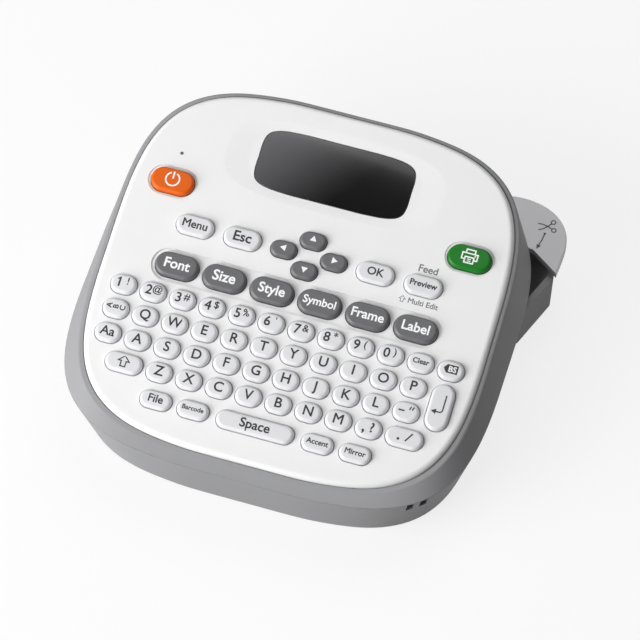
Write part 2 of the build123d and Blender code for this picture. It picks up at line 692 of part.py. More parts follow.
def lower_case():
    """The bowl-shaped lower case with the tape well, battery bay, chute and openings."""
    lip_bottom = PARTING_HEIGHT - PARTING_GROOVE
    shell = case_solid(FOOT_HEIGHT, lip_bottom)
    shell += case_solid(lip_bottom, PARTING_HEIGHT, PARTING_GROOVE_DEPTH)
    shell += chute()
    hollow = case_solid(FLOOR_TOP, PARTING_HEIGHT, WALL)
    posts = Part()
    for place in POST_PLACES:
        posts += disc(place, POST_RADIUS, FOOT_HEIGHT, PARTING_HEIGHT)
    inner = battery_bay() + tape_well() + posts & case_solid(FOOT_HEIGHT, PARTING_HEIGHT, WALL / 2)
    rail = CUT_X + BLADE_THICKNESS + 2 * BLADE_GAP
    rail_front = TAPE_Y - RAIL_FRONT
    inner += block(rail, rail + RIB, rail_front, BLADE_BACK, FLOOR_TOP - RIB / 2, BLADE_BOTTOM + RIB)
    shell = shell - hollow + inner
    shell -= cover_opening()
    pin_span = 2 * (COVER_HALF_WIDTH + HINGE_PIN_LENGTH)
    pin_hole = Rot(0, 90, 0) * Cylinder(HINGE_PIN_RADIUS + HINGE_FIT, pin_span)
    shell -= Pos(0, HINGE_Y, FOOT_HEIGHT + HINGE_RADIUS) * pin_hole
    exit_low = TAPE_Y - EXIT_HALF_WIDTH
    exit_high = TAPE_Y + EXIT_HALF_WIDTH
    shell -= block(CUT_X, BODY_HALF_WIDTH, exit_low, exit_high, EXIT_BOTTOM, EXIT_TOP)
    slot_bottom = LEVER_BOTTOM - LEVER_SLOT_GAP
    slot_top = LEVER_BOTTOM + LEVER_THICKNESS + LEVER_SLOT_GAP
    for share in (0, 0.5, 1):
        shape = offset(lever_plan(), amount=LEVER_SLOT_GAP)
        swung = turn_about(LEVER_PIVOT, -LEVER_SWING * share) * shape
        shell -= Pos(0, 0, slot_bottom) * extrude(swung, amount=slot_top - slot_bottom)
    jack_hole = Rot(90, 0, 0) * Cylinder(JACK_RADIUS + JACK_HOLE_GAP, 2 * JACK_LENGTH)
    shell -= Pos(JACK_X, JACK_BACK, JACK_Z) * jack_hole
    shell -= strap_slots()
    for place in POST_PLACES:
        shell -= disc(place, SCREW_RADIUS + SCREW_GAP, 0, PARTING_HEIGHT + 1)
        shell -= disc(place, SCREW_HEAD_RADIUS + SCREW_GAP, 0, SCREW_SEAT)
    for place in FOOT_PLACES:
        shell -= disc(place, FOOT_RADIUS, 0, FOOT_HEIGHT + FOOT_SINK)
    return shell


def turn_about(pivot, angle):
    """The move that turns a shape about an upright axis."""
    return Pos(*pivot) * Rot(0, 0, angle) * Pos(-pivot[0], -pivot[1])


def bottom_cover():
    """The cover under the tape well and battery bay, with its hinge barrel and pins."""
    wide = COVER_HALF_WIDTH
    axis_height = FOOT_HEIGHT + HINGE_RADIUS
    cover = block(-wide, wide, COVER_FRONT, HINGE_Y, FOOT_HEIGHT, FOOT_HEIGHT + COVER_THICKNESS)
    barrel = Rot(0, 90, 0) * Cylinder(HINGE_RADIUS, 2 * wide)
    pins = Rot(0, 90, 0) * Cylinder(HINGE_PIN_RADIUS, 2 * (wide + HINGE_PIN_LENGTH - COVER_GAP))
    return cover + Pos(0, HINGE_Y, axis_height) * (barrel + pins)


def case_screws():
    """The screws that hold the two halves of the case together, from below."""
    screws = []
    for place in POST_PLACES:
        head = disc(place, SCREW_HEAD_RADIUS, SCREW_SEAT - SCREW_HEAD, SCREW_SEAT)
        shank = disc(place, SCREW_RADIUS, SCREW_SEAT, PARTING_HEIGHT + SCREW_BITE - 1)
        screws.append(head + shank)
    return Compound(children=screws)


def rubber_feet():
    """The pads that the label maker stands on."""
    feet = [disc(place, FOOT_RADIUS, 0, FOOT_HEIGHT + FOOT_SINK) for place in FOOT_PLACES]
    return Compound(children=feet)


# Batteries and power socket

def battery_places():
    """Places of the battery axes across the bay."""
    return [(index - (BATTERY_COUNT - 1) / 2) * BATTERY_PITCH for index in range(BATTERY_COUNT)]


def batteries():
    """The cells, every second one turned round."""
    cells = []
    body = Rot(90, 0, 0) * Cylinder(BATTERY_RADIUS, BATTERY_LENGTH - BATTERY_TIP)
    tip = Rot(90, 0, 0) * Cylinder(BATTERY_TIP_RADIUS, BATTERY_LENGTH)
    cell = Pos(0, -BATTERY_TIP / 2, 0) * body + tip
    for index, place in enumerate(battery_places()):
        turned = index % 2
        middle = BATTERY_FRONT + BATTERY_LENGTH / 2 + (0 if turned else CONTACT_SPRING)
        cells.append(Pos(place, middle, battery_height()) * Rot(0, 0, 180 * turned) * cell)
    return Compound(children=cells)


def battery_contacts():
    """A flat plate at each cell's tip, and a plate with a coned spring at its other end."""
    contacts = []
    half = CONTACT_HALF_WIDTH
    plate = block(-half, half, -CONTACT_THICKNESS, 0, -half, half)
    cone = Rot(-90, 0, 0) * Cone(half - CONTACT_THICKNESS, half / 2, CONTACT_SPRING)
    spring = plate + Pos(0, CONTACT_SPRING / 2, 0) * cone
    back = bay_back() - CONTACT_THICKNESS
    for index, place in enumerate(battery_places()):
        turned = index % 2
        at_front = plate if turned else spring
        at_back = spring if turned else plate
        contacts.append(Pos(place, BATTERY_FRONT, battery_height()) * at_front)
        contacts.append(Pos(place, back, battery_height()) * Rot(0, 0, 180) * at_back)
    return Compound(children=contacts)


def power_socket():
    """The adapter socket: a housing with a round bore and a centre pin."""
    half = JACK_BODY_HALF
    front = JACK_BACK - JACK_LENGTH
    body = block(JACK_X - half, JACK_X + half, front, JACK_BACK - JACK_COLLAR, JACK_Z - half, JACK_Z + half)
    collar_start = JACK_BACK - JACK_COLLAR
    collar = extrude(Circle(JACK_RADIUS), amount=JACK_COLLAR)
    body += Pos(JACK_X, collar_start, JACK_Z) * Rot(-90, 0, 0) * collar
    bore_start = JACK_BACK - JACK_BORE_DEPTH
    bore = extrude(Circle(JACK_BORE_RADIUS) - Circle(JACK_PIN_RADIUS), amount=JACK_BORE_DEPTH + 1)
    return body - Pos(JACK_X, bore_start, JACK_Z) * Rot(-90, 0, 0) * bore


# Tape cassette

def cassette_case():
    """The tape cassette's shell, with the opening where the tape leaves."""
    width = CASSETTE_RIGHT - CASSETTE_LEFT
    depth = CASSETTE_BACK - CASSETTE_FRONT
    height = CASSETTE_TOP - CASSETTE_BOTTOM
    middle = Pos((CASSETTE_LEFT + CASSETTE_RIGHT) / 2, (CASSETTE_FRONT + CASSETTE_BACK) / 2, CASSETTE_BOTTOM)
    shell = extrude(RectangleRounded(width, depth, CASSETTE_CORNER), amount=height)
    inner_corner = CASSETTE_CORNER - CASSETTE_WALL
    inside = RectangleRounded(width - 2 * CASSETTE_WALL, depth - 2 * CASSETTE_WALL, inner_corner)
    shell -= Pos(0, 0, CASSETTE_WALL) * extrude(inside, amount=height - 2 * CASSETTE_WALL)
    shell = middle * shell
    tape_low = TAPE_MIDDLE - TAPE_WIDTH / 2 - TAPE_CLEAR
    tape_high = TAPE_MIDDLE + TAPE_WIDTH / 2 + TAPE_CLEAR
    mouth_left = CASSETTE_RIGHT - 2 * CASSETTE_WALL
    shell -= block(mouth_left, TALL, TAPE_Y - TAPE_CLEAR, TAPE_Y + TAPE_CLEAR, tape_low, tape_high)
    shell -= disc(SPINDLE_CENTRE, SPOOL_HUB_RADIUS + CASSETTE_GAP, CASSETTE_TOP - 2 * CASSETTE_WALL, TALL)
    return shell


def spool_bottom():
    """Underside of the rolls in the cassette."""
    return CASSETTE_BOTTOM + CASSETTE_WALL + CASSETTE_GAP


def spool_top():
    """Top of the rolls in the cassette."""
    return CASSETTE_TOP - CASSETTE_WALL - CASSETTE_GAP


def tape_roll():
    """The roll of label tape on its core."""
    low = TAPE_MIDDLE - TAPE_WIDTH / 2
    high = TAPE_MIDDLE + TAPE_WIDTH / 2
    roll = disc(TAPE_ROLL_CENTRE, TAPE_ROLL_RADIUS, low, high)
    roll += disc(TAPE_ROLL_CENTRE, TAPE_CORE_RADIUS, spool_bottom(), spool_top())
    return roll - disc(TAPE_ROLL_CENTRE, TAPE_CORE_RADIUS / 2, 0, TALL)


def label_tape():
    """The strip of tape from the roll to the cutter."""
    low = TAPE_MIDDLE - TAPE_WIDTH / 2
    high = TAPE_MIDDLE + TAPE_WIDTH / 2
    half = TAPE_THICKNESS / 2
    return block(TAPE_ROLL_CENTRE[0], CUT_X, TAPE_Y - half, TAPE_Y + half, low, high)


def ribbon_spool(centre):
    """A ribbon spool with two flanges."""
    low = spool_bottom()
    high = spool_top()
    spool = disc(centre, SPOOL_RADIUS - SPOOL_FLANGE, low, high)
    spool += disc(centre, SPOOL_RADIUS, low, low + SPOOL_FLANGE)
    spool += disc(centre, SPOOL_RADIUS, high - SPOOL_FLANGE, high)
    return spool - disc(centre, SPINDLE_RADIUS + RUNNING_FIT, 0, TALL)


# Drive train

def involute(angle):
    """The involute function of a pressure angle in radians."""
    return tan(angle) - angle


def gear(teeth, turn):
    """A spur gear's face with involute flanks; turn sets the direction of one tooth in degrees."""
    pitch_radius = GEAR_MODULE * teeth / 2
    base_radius = pitch_radius * cos(radians(PRESSURE_ANGLE))
    tip_radius = pitch_radius + GEAR_MODULE
    root_radius = pitch_radius - 1.25 * GEAR_MODULE
    half_tooth = pi / (2 * teeth) - GEAR_BACKLASH / (2 * pitch_radius) + involute(radians(PRESSURE_ANGLE))
    flank_start = max(base_radius, root_radius)
    flank = []
    for step in range(FLANK_STEPS):
        radius = flank_start + (tip_radius - flank_start) * step / (FLANK_STEPS - 1)
        flank.append((radius, half_tooth - involute(acos(base_radius / radius))))
    if base_radius > root_radius:
        flank.insert(0, (root_radius, flank[0][1]))
    points = []
    for tooth in range(teeth):
        middle = radians(turn) + 2 * pi * tooth / teeth
        points += [(radius, middle - angle) for radius, angle in flank]
        points += [(radius, middle + angle) for radius, angle in reversed(flank)]
    return make_face(Polyline(*[(r * cos(a), r * sin(a)) for r, a in points], close=True))


def mesh_turn(direction, driver_teeth, teeth):
    """Turn of a gear that meshes with a driver whose first tooth points along +X."""
    driver_pitch = 360 / driver_teeth
    past_tooth = direction % driver_pitch
    return direction + 180 + past_tooth * driver_teeth / teeth + 180 / teeth


def gear_solid(centre, teeth, turn, bottom):
    """A spur gear standing at a height."""
    return Pos(centre[0], centre[1], bottom) * extrude(gear(teeth, turn), amount=GEAR_WIDTH)


def motor_pinion():
    """The pinion on the motor's shaft."""
    turn = mesh_turn(MOTOR_DIRECTION, IDLER_TEETH, PINION_TEETH)
    pinion = gear_solid(MOTOR_CENTRE, PINION_TEETH, turn, GEAR_LOW)
    return pinion + disc(MOTOR_CENTRE, MOTOR_SHAFT_RADIUS, WELL_TOP - CHASSIS_THICKNESS, GEAR_LOW)


def idler_gear():
    """The double gear between the motor, the platen and the ribbon spindle."""
    wheel = gear_solid(IDLER_CENTRE, IDLER_TEETH, 0, GEAR_LOW)
    small = gear_solid(IDLER_CENTRE, IDLER_SMALL_TEETH, 0, GEAR_HIGH)
    neck = disc(IDLER_CENTRE, 2 * IDLER_PIN_RADIUS, GEAR_LOW, GEAR_HIGH)
    return wheel + small + neck - disc(IDLER_CENTRE, IDLER_PIN_RADIUS + RUNNING_FIT, 0, TALL)


def platen_roller():
    """The rubber-covered roller that feeds the tape, with its shaft and gear."""
    platen_direction = IDLER_DIRECTION + 180
    turn = mesh_turn(platen_direction, IDLER_SMALL_TEETH, PLATEN_TEETH)
    roller_top = TAPE_MIDDLE + TAPE_WIDTH / 2 + ROLLER_OVERHANG
    roller = disc(PLATEN_CENTRE, PLATEN_RADIUS, HOLDER_LOW + 1.5 * HOLDER_ARM, roller_top)
    roller += disc(PLATEN_CENTRE, PLATEN_SHAFT_RADIUS, HOLDER_LOW, GEAR_TOP)
    return roller + gear_solid(PLATEN_CENTRE, PLATEN_TEETH, turn, GEAR_HIGH)


def ribbon_spindle():
    """The gear and spindle that wind the used ribbon."""
    turn = mesh_turn(SPINDLE_DIRECTION, IDLER_TEETH, SPINDLE_TEETH)
    spindle = gear_solid(SPINDLE_CENTRE, SPINDLE_TEETH, turn, GEAR_LOW)
    return spindle + disc(SPINDLE_CENTRE, SPINDLE_RADIUS, spool_bottom(), GEAR_LOW)


def roller_holder():
    """The swinging holder that presses the platen roller towards the print head."""
    tube = disc(HOLDER_PIVOT, HOLDER_TUBE_RADIUS, HOLDER_LOW, HOLDER_TOP)
    reach = hypot(PLATEN_CENTRE[0] - HOLDER_PIVOT[0], PLATEN_CENTRE[1] - HOLDER_PIVOT[1])
    angle = degrees(atan2(PLATEN_CENTRE[1] - HOLDER_PIVOT[1], PLATEN_CENTRE[0] - HOLDER_PIVOT[0]))
    arm = Pos(reach / 2, 0) * SlotCenterToCenter(reach, HOLDER_ARM_WIDTH)
    for bottom in (HOLDER_LOW, HOLDER_TOP - HOLDER_ARM):
        tube += Pos(*HOLDER_PIVOT, bottom) * Rot(0, 0, angle) * extrude(arm, amount=HOLDER_ARM)
    tube -= disc(HOLDER_PIVOT, HOLDER_PIN_RADIUS + RUNNING_FIT, 0, TALL)
    return tube - disc(PLATEN_CENTRE, PLATEN_SHAFT_RADIUS + RUNNING_FIT, 0, TALL)


def drive_motor():
    """The motor, hung under the chassis beside the cassette."""
    return disc(MOTOR_CENTRE, MOTOR_RADIUS, MOTOR_BOTTOM, WELL_TOP - CHASSIS_THICKNESS) + motor_flange()


def motor_flange():
    """The motor's round front boss that seats against the chassis."""
    ring = disc(MOTOR_CENTRE, MOTOR_RADIUS / 2, WELL_TOP - CHASSIS_THICKNESS, WELL_TOP)
    return ring - disc(MOTOR_CENTRE, MOTOR_SHAFT_RADIUS + RUNNING_FIT, 0, TALL)


def chassis():
    """The plate over the cassette that carries the motor, gears, print head and lever pin."""
    left = CASSETTE_LEFT - RIB
    front = CASSETTE_FRONT - RIB
    plate = block(left, BODY_HALF_WIDTH, front, BODY_HALF_DEPTH, WELL_TOP, CHASSIS_TOP)
    plate = plate & case_solid(WELL_TOP, PARTING_HEIGHT + CHASSIS_THICKNESS, WALL + RIB)
    plate -= disc(MOTOR_CENTRE, MOTOR_SHAFT_RADIUS + SCREW_GAP, 0, TALL)
    plate -= disc(SPINDLE_CENTRE, SPINDLE_RADIUS + RUNNING_FIT, 0, TALL)
    plate -= disc(PLATEN_CENTRE, PLATEN_SHAFT_RADIUS + PLATEN_RADIUS, 0, TALL)
    for place in POST_PLACES:
        plate -= disc(place, POST_RADIUS + SCREW_GAP, 0, TALL)
    plate += disc(IDLER_CENTRE, IDLER_PIN_RADIUS, WELL_TOP, GEAR_TOP)
    plate += disc(IDLER_CENTRE, 2 * IDLER_PIN_RADIUS, CHASSIS_TOP, GEAR_LOW - GEAR_STEP)
    plate += disc(HOLDER_PIVOT, HOLDER_PIN_RADIUS, HOLDER_LOW, WELL_TOP)
    return plate + disc(LEVER_PIVOT, LEVER_PIN_RADIUS, LEVER_BOTTOM - LEVER_SLOT_GAP, WELL_TOP)


def print_head():
    """The thermal print head with cooling fins, on the far side of the tape from the platen."""
    face = TAPE_Y - TAPE_THICKNESS / 2 - HEAD_GAP
    left = PLATEN_X - HEAD_HALF_LENGTH
    right = PLATEN_X + HEAD_HALF_LENGTH
    bottom = FLOOR_TOP + RIB
    head = block(left, right, face - HEAD_DEPTH / 2, face, bottom, WELL_TOP)
    for index in range(4):
        fin = left + index * (2 * HEAD_HALF_LENGTH - HEAD_FIN) / 3
        head += block(fin, fin + HEAD_FIN, face - HEAD_DEPTH, face, bottom, WELL_TOP)
    return head


# Cutter

def lever_plan():
    """The lever seen from above: a hub, a bar and a wide paddle."""
    hub_x, hub_y = LEVER_PIVOT
    bar_low = hub_y - LEVER_BAR_HALF_WIDTH
    bar_high = hub_y + LEVER_BAR_HALF_WIDTH
    back = Spline(*LEVER_BACK_CURVE)
    front = Polyline(LEVER_BACK_CURVE[-1], *LEVER_FRONT_EDGE, (LEVER_INNER, bar_low), (hub_x, bar_low))
    inner = Polyline((hub_x, bar_low), (hub_x, bar_high), (LEVER_INNER, bar_high), LEVER_BACK_CURVE[0])
    return make_face([back, front, inner]) + Pos(*LEVER_PIVOT) * Circle(LEVER_HUB_RADIUS)


def cutter_lever():
    """The lever that is pushed to the front to cut the tape, with the peg that drives the blade."""
    lever = Pos(0, 0, LEVER_BOTTOM) * extrude(lever_plan(), amount=LEVER_THICKNESS)
    paddle_edge = lever.edges().group_by(Axis.Z)[-1].sort_by(SortBy.LENGTH)[-1]
    lever = fillet(paddle_edge, LEVER_ROUND)
    lever += disc(LEVER_PEG, LEVER_PEG_RADIUS, LEVER_BOTTOM - LEVER_PEG_LENGTH, LEVER_BOTTOM)
    return lever - disc(LEVER_PIVOT, LEVER_PIN_RADIUS + RUNNING_FIT, 0, TALL)


def fixed_blade():
    """The fixed blade on the near side of the tape."""
    edge = TAPE_Y - TAPE_THICKNESS / 2 - HEAD_GAP
    front = edge - FIXED_BLADE_DEPTH
    blade = block(CUT_X - BLADE_THICKNESS, CUT_X, front, edge, FLOOR_TOP, BLADE_TOP)
    foot_left = CUT_X - FIXED_BLADE_FOOT
    foot = block(foot_left, CUT_X, front, edge - FIXED_BLADE_BEVEL, FLOOR_TOP, FLOOR_TOP + BLADE_THICKNESS)
    return blade + foot


def moving_blade():
    """The sliding blade and the carriage that the lever's peg pushes."""
    left = CUT_X + BLADE_GAP
    edge = TAPE_Y + TAPE_THICKNESS / 2 + BLADE_CLEAR
    profile = [(edge, BLADE_BOTTOM), (BLADE_BACK, BLADE_BOTTOM)]
    profile += [(BLADE_BACK, BLADE_TOP), (edge + BLADE_SKEW, BLADE_TOP)]
    face = make_face(Plane.YZ * Polyline(*profile, close=True))
    blade = Pos(left, 0, 0) * extrude(face, amount=BLADE_THICKNESS)
    middle = LEVER_PEG[0]
    half = CARRIAGE_HALF_WIDTH
    carriage = block(middle - half, middle + half, CARRIAGE_FRONT, CARRIAGE_BACK, CARRIAGE_BOTTOM, BLADE_TOP)
    slot_half = LEVER_PEG_RADIUS + LEVER_PEG_GAP
    slot = SlotOverall(2 * half + 2 * slot_half, 2 * slot_half)
    slot_low = LEVER_BOTTOM - LEVER_PEG_LENGTH - LEVER_PEG_GAP
    carriage -= Pos(middle, LEVER_PEG[1], slot_low) * extrude(slot, amount=TALL)
    return blade + carriage


def all_nodes():
    """Every piece of the label maker by name."""
    nodes = {
        "lower_case": lower_case(),
        "upper_case": upper_case(),
        "face_panel": face_panel(),
        "display_window": display_window(),
        "display_module": display_module(),
        "status_light": status_light(),
        "key_mat": key_mat(),
        "main_board": main_board(),
        "bottom_cover": bottom_cover(),
        "case_screws": case_screws(),
        "rubber_feet": rubber_feet(),
        "batteries": batteries(),
        "battery_contacts": battery_contacts(),
        "power_socket": power_socket(),
        "cassette_case": cassette_case(),
        "tape_roll": tape_roll(),
        "label_tape": label_tape(),
        "ribbon_supply_spool": ribbon_spool(SUPPLY_CENTRE),
        "ribbon_take_up_spool": ribbon_spool(SPINDLE_CENTRE),
        "chassis": chassis(),
        "drive_motor": drive_motor(),
        "motor_pinion": motor_pinion(),
        "idler_gear": idler_gear(),
        "platen_roller": platen_roller(),
        "ribbon_spindle": ribbon_spindle(),
        "roller_holder": roller_holder(),
        "print_head": print_head(),
        "cutter_lever": cutter_lever(),
        "moving_blade": moving_blade(),
        "fixed_blade": fixed_blade(),
    }
    nodes.update(key_nodes())
    return nodes


os.makedirs("parts", exist_ok=True)
for node_name, node in all_nodes().items():
    export_step(Pos(-ORIGIN_X, 0, 0) * node, f"parts/{node_name}.step")
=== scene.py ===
"""Finishes, printed legends, studio and camera for a desktop label maker.

Named lengths are in millimetres, unless a comment says otherwise, and MM turns them into Blender's metres.
"""
from math import cos, pi, radians, sin

import bmesh
import bpy
from mathutils import Matrix, Vector
from mathutils.bvhtree import BVHTree


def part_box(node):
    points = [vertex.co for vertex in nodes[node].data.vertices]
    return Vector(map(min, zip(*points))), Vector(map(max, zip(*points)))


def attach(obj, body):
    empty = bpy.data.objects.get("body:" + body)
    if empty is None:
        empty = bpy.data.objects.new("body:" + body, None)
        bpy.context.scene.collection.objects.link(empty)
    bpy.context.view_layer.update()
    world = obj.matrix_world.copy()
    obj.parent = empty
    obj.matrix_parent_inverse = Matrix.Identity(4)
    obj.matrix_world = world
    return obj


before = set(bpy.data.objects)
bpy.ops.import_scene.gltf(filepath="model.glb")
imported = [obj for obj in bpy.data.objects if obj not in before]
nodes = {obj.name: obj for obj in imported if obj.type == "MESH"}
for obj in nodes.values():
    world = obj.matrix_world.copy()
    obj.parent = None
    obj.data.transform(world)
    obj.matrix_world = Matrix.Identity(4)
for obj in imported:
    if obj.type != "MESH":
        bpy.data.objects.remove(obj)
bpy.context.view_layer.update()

MM = 0.001

# Places of the colour sockets on a Mix node
MIX_FIRST = 6
MIX_SECOND = 7
MIX_RESULT = 2

# The panel that carries the keys: printed work is laid out across (u) and up (v) its sloping face
PANEL_SLOPE = 12.0
PANEL_HEIGHT = 45.29
KEY_PITCH = 11.0
PRINT_REACH = 8.0

# Ink
INK_LIFT = 0.015
INK_FILM = 0.04
INK_STEP = 0.7
INK_CUTS = 2
STROKE = 0.55
BAR_STROKE = 0.6
SIGN_STROKE = 0.5
THIN_STROKE = 0.45
LOOP_STROKE = 0.4
FINE_STROKE = 0.35
CORNER_LIMIT = 0.4

# Lettering heights, as the height of a capital
LETTER_CAP = 3.5
DIGIT_CAP = 3.4
SYMBOL_CAP = 2.5
COMMA_CAP = 4.0
TAG_CAP = 2.0
TURNED_CAP = 1.9

# Places of signs on their keys, across and up from the middle, and the step between turned letters
LEGEND_LIFT = 0.35
DIGIT_PLACE = (-1.5, 0)
SYMBOL_PLACE = (1.5, 0.75)
COMMA_PLACE = (-1.6, 0)
QUERY_PLACE = (1.3, 0)
TAG_PLACE = (0.5, 0)
TURNED_STEP = 2.45

# Sizes of arrows, from the middle to the tip
SHIFT_ARROW = 2.0
SMALL_ARROW = 1.1
POINTER = 1.4

# Width of a hollow arrow's line, as a share of its size
ARROW_LINE = 0.22

# Weight of the letters, as growth of the rim at a nominal letter height of 1
MEDIUM = 0.018
BOLD = 0.022
SMALL_BOLD = 0.028
LETTER_WELD = 0.003
LETTER_CURVE_STEPS = 4

# Camera, worked out from the photograph
CAMERA_TARGET = (5.2, -2.1, 30.0)
CAMERA_AZIMUTH = 16.99
CAMERA_ELEVATION = 60.13
CAMERA_DISTANCE = 1338.7
CAMERA_LENS = 210.6
CAMERA_SENSOR = 36.0

# Studio
WHITE = (1.0, 1.0, 1.0, 1.0)
FLOOR_WIDTH = 6000.0
FLOOR_GLOW = 0.8
SKY_STRENGTH = 0.14
LAMP_WIDTH = 1000.0
LEFT_LAMP_PLACE = (-800.0, -740.0, 500.0)
LEFT_LAMP_WATTS = 22.2
BACK_LAMP_PLACE = (60.0, 640.0, 1150.0)
BACK_LAMP_WATTS = 5.7


def linear(hex_colour):
    """An sRGB hex colour as linear red, green, blue and alpha."""
    channels = [int(hex_colour[i:i + 2], 16) / 255 for i in (1, 3, 5)]
    return [c / 12.92 if c <= 0.04045 else ((c + 0.055) / 1.055) ** 2.4 for c in channels] + [1.0]


def add(tree, kind, inputs=None, **settings):
    """Adds a node, sets it up and joins or fills its inputs."""
    made = tree.nodes.new(kind)
    for name, value in settings.items():
        setattr(made, name, value)
    for socket, value in (inputs or {}).items():
        if isinstance(value, bpy.types.NodeSocket):
            tree.links.new(value, made.inputs[socket])
        else:
            made.inputs[socket].default_value = value
    return made


def surface(name, inputs):
    """A new material with one main shader, and the tree that feeds it."""
    material = bpy.data.materials.new(name)
    material.use_nodes = True
    tree = material.node_tree
    tree.nodes.clear()
    shader = add(tree, "ShaderNodeBsdfPrincipled", inputs)
    add(tree, "ShaderNodeOutputMaterial", {"Surface": shader.outputs[0]})
    return material, tree, shader


def per_mm(size_mm):
    """Texture scale for a pattern whose features are this many millimetres across."""
    return 1 / (size_mm * MM)


def shade_between(tree, factor, first, second):
    """A colour that runs from one hex colour to another as the factor goes from 0 to 1."""
    mix = add(tree, "ShaderNodeMix", {"Factor": factor}, data_type="RGBA")
    mix.inputs[MIX_FIRST].default_value = linear(first)
    mix.inputs[MIX_SECOND].default_value = linear(second)
    return mix.outputs[MIX_RESULT]


def value_between(tree, factor, low, high):
    """A number that runs from low to high as the factor goes from 0 to 1."""
    return add(tree, "ShaderNodeMapRange", {"Value": factor, "To Min": low, "To Max": high}).outputs[0]


def grain_bump(tree, shader, height, depth_mm, strength):
    """Raises the surface by a pattern of a real depth."""
    inputs = {"Height": height, "Distance": depth_mm * MM, "Strength": strength}
    bump = add(tree, "ShaderNodeBump", inputs)
    tree.links.new(bump.outputs[0], shader.inputs["Normal"])


# Finishes

def moulded_plastic(name, dark, light, grain_mm=0.5, roughness=(0.36, 0.46), gloss=0.5):
    """Plastic from a spark-eroded mould: a fine even grain that breaks up the highlights.

    The real grain is about 0.05 mm, too fine to show, so it is drawn coarser. The display's matt film has
    a grain much like it.
    """
    material, tree, shader = surface(name, {"IOR": 1.53, "Specular IOR Level": gloss})
    place = add(tree, "ShaderNodeTexCoord").outputs["Object"]
    cloud = add(tree, "ShaderNodeTexNoise", {"Vector": place, "Scale": per_mm(14), "Detail": 3.0})
    grain = add(tree, "ShaderNodeTexNoise", {"Vector": place, "Scale": per_mm(grain_mm), "Detail": 2.0})
    tree.links.new(shade_between(tree, cloud.outputs[0], dark, light), shader.inputs["Base Color"])
    tree.links.new(value_between(tree, grain.outputs[0], *roughness), shader.inputs["Roughness"])
    grain_bump(tree, shader, grain.outputs[0], depth_mm=0.02, strength=0.25)
    return material


def smoked_acrylic_with_painted_reflection():
    """Polished acrylic over a dark film: deep and glossy, with a painted reflection that makes it paler
    towards its left-hand end and its back.
    """
    inputs = {"IOR": 1.49, "Roughness": 0.06, "Coat Weight": 0.5, "Coat Roughness": 0.03}
    material, tree, shader = surface("Smoked acrylic, polished, with painted reflection", inputs)
    low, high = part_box("display_window")
    # The run from pale to dark across the window is a painted reflection: pale grey at its back left, near
    # black at its front right
    lean_to_front = 0.35
    painted_reflection_end = 0.95
    haze_depth = 0.05
    place = add(tree, "ShaderNodeTexCoord").outputs["Object"]
    axes = add(tree, "ShaderNodeSeparateXYZ", {"Vector": place})
    left_to_right = {"Value": axes.outputs[0], "From Min": low.x, "From Max": high.x}
    across = add(tree, "ShaderNodeMapRange", left_to_right)
    back_to_front = {"Value": axes.outputs[1], "From Min": high.y, "From Max": low.y,
                     "To Max": lean_to_front}
    down = add(tree, "ShaderNodeMapRange", back_to_front)
    reach = add(tree, "ShaderNodeMath", {0: across.outputs[0], 1: down.outputs[0]}, operation="ADD")
    painted_reflection_fade = add(tree, "ShaderNodeMapRange", {"Value": reach.outputs[0], "From Max": painted_reflection_end},
               interpolation_type="SMOOTHSTEP")
    haze = add(tree, "ShaderNodeTexNoise", {"Vector": place, "Scale": per_mm(6), "Detail": 2.0})
    haze_and_painted_reflection = add(tree, "ShaderNodeMath", {0: haze.outputs[0], 1: haze_depth, 2: painted_reflection_fade.outputs[0]},
               operation="MULTIPLY_ADD")
    # Painted reflection with a faint random haze: the pale grey end is painted reflection, the near black
    # end is the smoked window
    smoke_and_painted_reflection = shade_between(tree, haze_and_painted_reflection.outputs[0], "#666668", "#040405")
    tree.links.new(smoke_and_painted_reflection, shader.inputs["Base Color"])
    return material


def soft_plastic(name, dark, light, glow_mm=1.2):
    """Translucent moulded plastic: light soaks in a little, so that edges look paler.

    Its grain is too fine to show, so it is drawn coarser.
    """
    inputs = {"IOR": 1.49, "Subsurface Weight": 0.25, "Subsurface Scale": glow_mm * MM}
    inputs["Subsurface Radius"] = (1.0, 1.0, 1.0)
    material, tree, shader = surface(name, inputs)
    place = add(tree, "ShaderNodeTexCoord").outputs["Object"]
    cloud = add(tree, "ShaderNodeTexNoise", {"Vector": place, "Scale": per_mm(9), "Detail": 3.0})
    grain = add(tree, "ShaderNodeTexNoise", {"Vector": place, "Scale": per_mm(0.6), "Detail": 2.0})
    tree.links.new(shade_between(tree, cloud.outputs[0], dark, light), shader.inputs["Base Color"])
    tree.links.new(value_between(tree, grain.outputs[0], 0.3, 0.4), shader.inputs["Roughness"])
    grain_bump(tree, shader, grain.outputs[0], depth_mm=0.01, strength=0.2)
    return material


def silicone_rubber(name, dark, light):
    """Moulded rubber: matt, with a faint bloom."""
    material, tree, shader = surface(name, {"IOR": 1.43, "Sheen Weight": 0.15})
    place = add(tree, "ShaderNodeTexCoord").outputs["Object"]
    bloom = add(tree, "ShaderNodeTexNoise", {"Vector": place, "Scale": per_mm(3), "Detail": 4.0})
    tree.links.new(shade_between(tree, bloom.outputs[0], dark, light), shader.inputs["Base Color"])
    tree.links.new(value_between(tree, bloom.outputs[0], 0.7, 0.85), shader.inputs["Roughness"])
    grain_bump(tree, shader, bloom.outputs[0], depth_mm=0.02, strength=0.3)
    return material


